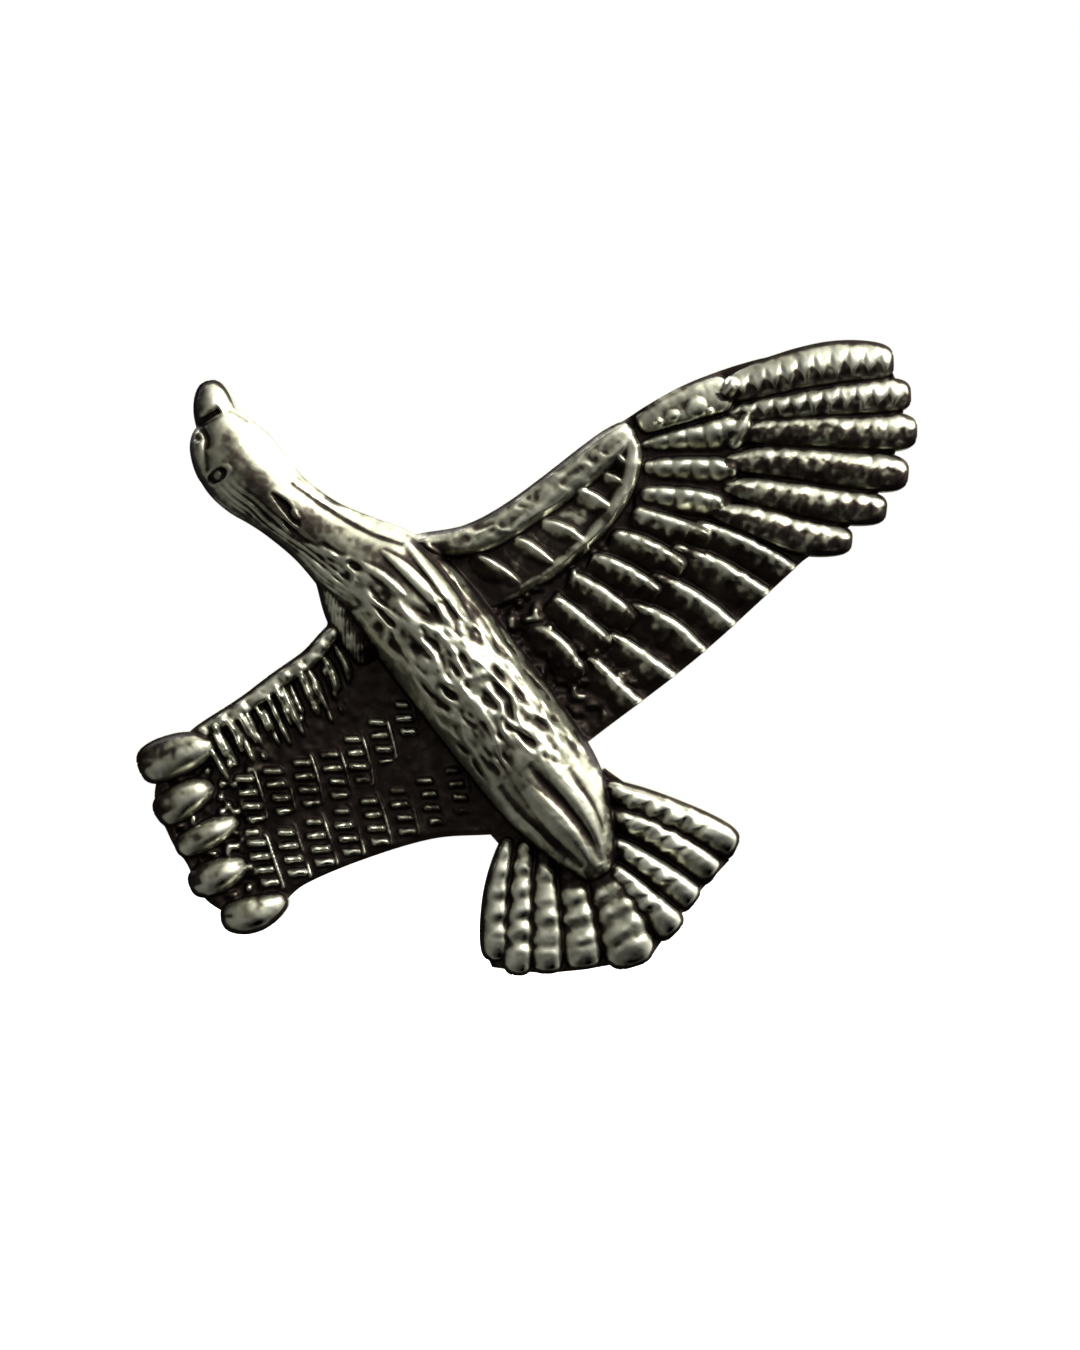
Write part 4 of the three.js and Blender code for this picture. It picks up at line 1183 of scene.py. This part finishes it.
def smooth(made):
    made.data.polygons.foreach_set("use_smooth", np.ones(len(made.data.polygons), bool))
    made.data.set_sharp_from_angle(angle=CREASE)


def closed_mesh(name, points, faces, post, turn=0.0):
    """A mesh from points in millimetres round a post, turned about it, with all faces turned out."""
    mesh = bpy.data.meshes.new(name)
    mesh.from_pydata([tuple(point) for point in points], [], faces)
    bm = bmesh.new()
    bm.from_mesh(mesh)
    bmesh.ops.remove_doubles(bm, verts=bm.verts, dist=1e-5)
    bmesh.ops.recalc_face_normals(bm, faces=bm.faces)
    if bm.calc_volume(signed=True) < 0:
        bmesh.ops.reverse_faces(bm, faces=bm.faces)
    bm.to_mesh(mesh)
    bm.free()
    place = Matrix.Translation(Vector((post.x, 0, post.z)) * MM) @ Matrix.Rotation(turn, 4, "Y")
    mesh.transform(place @ Matrix.Scale(MM, 4))
    made = placed(name, mesh)
    smooth(made)
    return made


def lathe(name, profile, post, lumps=0.0, segments=96):
    """A closed turned part. lumps makes its section swell and shrink on the way round."""
    profile = np.asarray(profile, float)
    corner = profile[0]
    points, loops = [], []
    for place in profile:
        if place[0] == 0:
            loops.append([len(points)] * segments)
            points.append((0, place[1], 0))
            continue
        loops.append(list(range(len(points), len(points) + segments)))
        for k in range(segments):
            turn = 2 * math.pi * k / segments
            # A ring through the noise, so that the swelling meets itself.
            swell = 1 + lumps * (float(noise(2.5 * math.cos(turn) + 9, 2.5 * math.sin(turn) + 9, 5)) - 0.6)
            radius, level = corner + (place - corner) * swell
            points.append((radius * math.cos(turn), level, radius * math.sin(turn)))
    faces = []
    for first, second in zip(loops, loops[1:] + loops[:1]):
        for k in range(segments):
            n = (k + 1) % segments
            face = dict.fromkeys((first[k], first[n], second[n], second[k]))
            if len(face) > 2:
                faces.append(list(face))
    return closed_mesh(name, points, faces, post)


def block(low, high):
    """The corners and faces of a box."""
    points = [(x, y, z) for x in (low[0], high[0]) for y in (low[1], high[1]) for z in (low[2], high[2])]
    return points, [(0, 1, 3, 2), (4, 6, 7, 5), (0, 4, 5, 1), (2, 3, 7, 6), (0, 2, 6, 4), (1, 5, 7, 3)]


def oval_cutter(bottom, top, count=32):
    """The corners and faces of an upright oval peg."""
    turns = [2 * math.pi * k / count for k in range(count)]
    rim = [(SLOT_RADIUS * math.cos(t) + (SLOT_SHIFT if math.cos(t) > 0 else 0), SLOT_RADIUS * math.sin(t))
           for t in turns]
    points = [(x, level, z) for level in (bottom, top) for x, z in rim]
    sides = [(k, (k + 1) % count, count + (k + 1) % count, count + k) for k in range(count)]
    return points, [*sides, tuple(range(count)), tuple(range(2 * count - 1, count - 1, -1))]


def cut(target, cutter):
    """Takes the cutter's shape out of the target, and the cutter out of the scene."""
    tool = target.modifiers.new("cut", "BOOLEAN")
    tool.operation, tool.solver, tool.object = "DIFFERENCE", "EXACT", cutter
    bpy.context.view_layer.update()
    graph = bpy.context.evaluated_depsgraph_get()
    result = bpy.data.meshes.new_from_object(target.evaluated_get(graph))
    target.modifiers.clear()
    target.data = result
    bpy.data.objects.remove(cutter)
    smooth(target)


def ribbon(name, path, half_width, post, turn):
    """A strip of sheet bent along a path of (x, level), with rounded edges.
    half_width takes a distance along the strip and the strip's length."""
    line = curve(path, 10)
    travelled = np.concatenate([[0], np.cumsum(np.hypot(*np.diff(line, axis=0).T))])
    length = travelled[-1]
    # Stops along the strip: evenly in the middle, and closer together towards the rounded ends.
    inset, pitch = 0.9, 0.12
    ends = WING_CORNER * (1 - np.cos(np.linspace(0, math.pi / 2, 8)))
    even = np.arange(inset, length - inset, pitch)
    stops = np.unique(np.round(np.concatenate([even, ends, length - ends]), 4))
    centre = np.column_stack([np.interp(stops, travelled, line[:, k]) for k in (0, 1)])
    along = np.gradient(centre, stops, axis=0)
    along /= np.hypot(*along.T)[:, None]
    across = np.column_stack([-along[:, 1], along[:, 0]])
    points = []
    for stop, place, side in zip(stops, centre, across):
        half = half_width(stop, length)
        for sx, sz in ((1, 1), (-1, 1), (-1, -1), (1, -1)):
            for k in range(3):
                bend = math.pi / 4 * (k if sx * sz > 0 else 2 - k)
                lift = sx * (SHEET / 2 - SHEET_EDGE + SHEET_EDGE * math.cos(bend))
                reach = sz * (half - SHEET_EDGE + SHEET_EDGE * math.sin(bend))
                points.append((*(place + side * lift), reach))
    rows, count = len(stops), len(points) // len(stops)
    faces = [tuple(range(count)), tuple(range(rows * count - 1, (rows - 1) * count - 1, -1))]
    for row in range(rows - 1):
        for k in range(count):
            n = (k + 1) % count
            faces.append((row * count + k, row * count + n, (row + 1) * count + n, (row + 1) * count + k))
    return closed_mesh(name, points, faces, post, turn)


def spring(name, level, post, turn):
    """A blade with an oval hole, a neck, and a broad wing that curls back over itself."""
    start = level + SHEET / 2
    neck = [(BLADE_END, start), (0.8, start), (2.3, start), (2.75, 0.85 * start + 0.15 * NECK_LEVEL),
            (3.25, 0.2 * start + 0.8 * NECK_LEVEL), (3.8, NECK_LEVEL)]

    def rounded_off(corner, left):
        """How much narrower a strip with that corner radius is, that far from its end."""
        return corner - math.sqrt(max(corner ** 2 - (corner - left) ** 2, 0)) if left < corner else 0.0

    def half_width(stop, length):
        half = BLADE_HALF + (WING_HALF - BLADE_HALF) * float(smoothstep(*BLADE_TO_WING, stop))
        return half - rounded_off(BLADE_CORNER, stop) - rounded_off(WING_CORNER, length - stop)

    path = [(x, CLOTH + y) for x, y in (*neck, *LOOP)]
    strip = ribbon(name, path, half_width, post, turn)
    points, faces = oval_cutter(CLOTH + level - 0.3, CLOTH + level + SHEET + 0.3)
    cut(strip, closed_mesh(name + "_cutter", points, faces, post, turn))
    return strip


def behind(corners):
    """The same profile, moved to where the clutch rests."""
    return [(radius, level + CLOTH) for radius, level in corners]


def add_fittings(side, post, turn):
    """Everything on one post. turn is the clutch's, about the post."""
    clutch = side + "_clutch"
    pad = lathe(side + "_nail_pad", filleted(PAD_PROFILE, 0.07), post)
    shaft = lathe(side + "_nail", filleted(POST_PROFILE, 0.1), post, segments=64)
    fillet = lathe(side + "_fillet", SOLDER_PROFILE, post, 0.45)
    disc = lathe(side + "_disc", filleted(behind(BASE_PROFILE), 0.09), post, segments=128)
    cap = lathe(side + "_cap", filleted(behind(KEEPER_PROFILE), 0.12), post, segments=128)
    bottom, top, width = WINDOW
    reach = 1.5 * DOME_RADIUS
    points, faces = block((-reach, CLOTH + bottom, -width / 2), (reach, CLOTH + top, width / 2))
    cut(cap, closed_mesh("cutter", points, faces, post, turn))
    parts = [(pad, "_post_pad", "badge", "nickel"), (shaft, "_post", "badge", "nickel"),
             (fillet, "_post_solder", "badge", "solder"),
             (disc, "_clutch_base", clutch, "brass"), (cap, "_clutch_keeper", clutch, "brass")]
    for which, level in SPRING_LEVELS.items():
        around = turn + (math.pi if which == "left" else 0.0)
        strip = spring(f"{side}_{which}_wing", level, post, around)
        parts.append((strip, f"_clutch_{which}_spring", f"{side}_{which}_spring", "spring_brass"))
    for piece, node, body, finish in parts:
        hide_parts(side + node)
        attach(piece, body)
        piece.data.materials.append(FINISH[finish])


def squeeze_turn(side):
    """How far a clutch is turned about its post: its left wing is squeezed along the turned x axis."""
    for joint in frame["joints"]:
        if joint["name"] == side + "_left_squeeze":
            x, _, z = joint["axis"]
            return math.atan2(-z, x)
    raise ValueError("no squeeze joint on the " + side + " clutch")


add_fittings("centre", CENTRE, squeeze_turn("centre"))
add_fittings("outer", OUTER, squeeze_turn("outer"))


# ---------------------------------------------------------------- studio

# Each light of the studio as seen in the metal: where it is, and its strength by how near to it a reflection
# points, from 0 for the far side to 1. The curves overshoot near a bend, and the stops allow for that.
LIGHTS = [
    ((0.66, -0.3, 0.68), [(0.0, 0.04), (0.3, 0.08), (0.575, 0.22), (0.8, 0.55), (0.94, 1.35), (1.0, 1.9)]),
    ((0.3, -0.45, 0.84), [(0.0, 0.0), (0.84, 0.0), (0.95, 0.4), (1.0, 0.9)]),
    ((-0.6, -0.7, 0.2), [(0.0, 0.0), (0.55, 0.0), (0.85, 0.16), (1.0, 0.32)]),
    ((-0.6, 0.5, -0.6), [(0.0, 0.0), (0.6, 0.0), (0.9, 0.15), (1.0, 0.25)]),
    ((0.6, 0.6, 0.5), [(0.0, 0.0), (0.6, 0.03), (0.8, 0.6), (0.93, 1.6), (1.0, 2.0)]),
    ((0.35, 0.9, 0.25), [(0.0, 0.0), (0.6, 0.0), (0.82, 0.0), (0.88, 0.02), (0.96, 0.5), (1.0, 0.9)]),
]
AMBIENT = 0.05


def studio():
    """White behind the object, and soft lights in its reflections, mostly from the upper right."""
    made = bpy.data.worlds.new("studio")
    bpy.context.scene.world = made
    made.use_nodes = True
    tree = made.node_tree
    lit = tree.nodes["Background"]
    direction = add(tree, "TexCoord").outputs["Generated"]
    total = AMBIENT
    for towards, stops in LIGHTS:
        towards = Vector(towards).normalized()
        dot = add(tree, "VectorMath", direction, towards, operation="DOT_PRODUCT").outputs["Value"]
        closeness = maths(tree, "MULTIPLY_ADD", dot, 0.5, 0.5)
        ramp = add(tree, "FloatCurve", Value=closeness)
        top = max(level for _, level in stops)
        knots = ramp.mapping.curves[0].points
        knots[0].location = (0, stops[0][1] / top)
        knots[1].location = (1, 1)
        for place, level in stops[1:-1]:
            knots.new(place, level / top)
        ramp.mapping.update()
        total = maths(tree, "ADD", total, maths(tree, "MULTIPLY", ramp.outputs[0], top))
    feed(tree, lit, {"Strength": total, "Color": (1.0, 0.99, 0.95, 1)})
    white = add(tree, "Background", Color=(1, 1, 1, 1))
    seen = add(tree, "LightPath").outputs["Is Camera Ray"]
    choose = add(tree, "MixShader", seen, lit.outputs[0], white.outputs[0])
    feed(tree, tree.nodes["World Output"], {"Surface": choose.outputs[0]})


def lamp(name, place, target, size, energy):
    data = bpy.data.lights.new(name, "AREA")
    data.shape, data.size, data.energy = "DISK", size, energy
    light = placed(name, data)
    light.location = place
    light.rotation_euler = (target - place).to_track_quat("-Z", "Y").to_euler()


def camera(target):
    """Square on to the front, a little right of the middle and below it."""
    distance, frame_height, sensor = 0.30, 0.0783, 36.0
    data = bpy.data.cameras.new("camera")
    data.sensor_fit, data.sensor_height = "VERTICAL", sensor
    data.lens = sensor * distance / frame_height
    data.clip_start = 0.01
    made = placed("camera", data)
    made.location = target + Vector((0, -distance, 0))
    made.rotation_euler = (math.pi / 2, 0, 0)
    bpy.context.scene.camera = made


def pale_floor(level, centre):
    """A floor that fades out towards the horizon, and neither lights the object nor shows in it."""
    place = (centre.x, centre.y, level)
    bpy.ops.mesh.primitive_circle_add(vertices=96, radius=0.6, fill_type="NGON", location=place)
    made = bpy.context.object
    made.name = "floor"
    paint, tree, shader = material("pale_floor")
    feed(tree, shader, {"Base Color": (0.92, 0.92, 0.91, 1), "Roughness": 0.9})
    place = add(tree, "TexCoord").outputs["Object"]
    away = add(tree, "VectorMath", place, operation="LENGTH").outputs["Value"]
    fade = add(tree, "MapRange", away, 0.03, 0.25).outputs[0]
    glow = add(tree, "Emission", Color=(1, 1, 1, 1), Strength=0.55).outputs[0]
    bright = add(tree, "AddShader", shader.outputs[0], glow).outputs[0]
    clear = add(tree, "BsdfTransparent").outputs[0]
    choose = add(tree, "MixShader", fade, bright, clear)
    feed(tree, tree.nodes["Material Output"], {"Surface": choose.outputs[0]})
    made.data.materials.append(paint)
    made.visible_glossy = False
    made.visible_diffuse = False


studio()
low, high = CAD_BOX
aim = (low + high) / 2 + Vector((0.73, 0, -1.0)) * MM
aim.y = -0.8 * MM
camera(aim)
lamp("key", Vector((0.27, -0.16, 0.27)), aim, 0.2, 1.5)
lamp("back", Vector((-0.2, 0.4, 0.25)), aim, 0.3, 1.2)
pale_floor(low.z - 0.5 * MM, aim)
bpy.context.scene.view_settings.view_transform = "Standard"
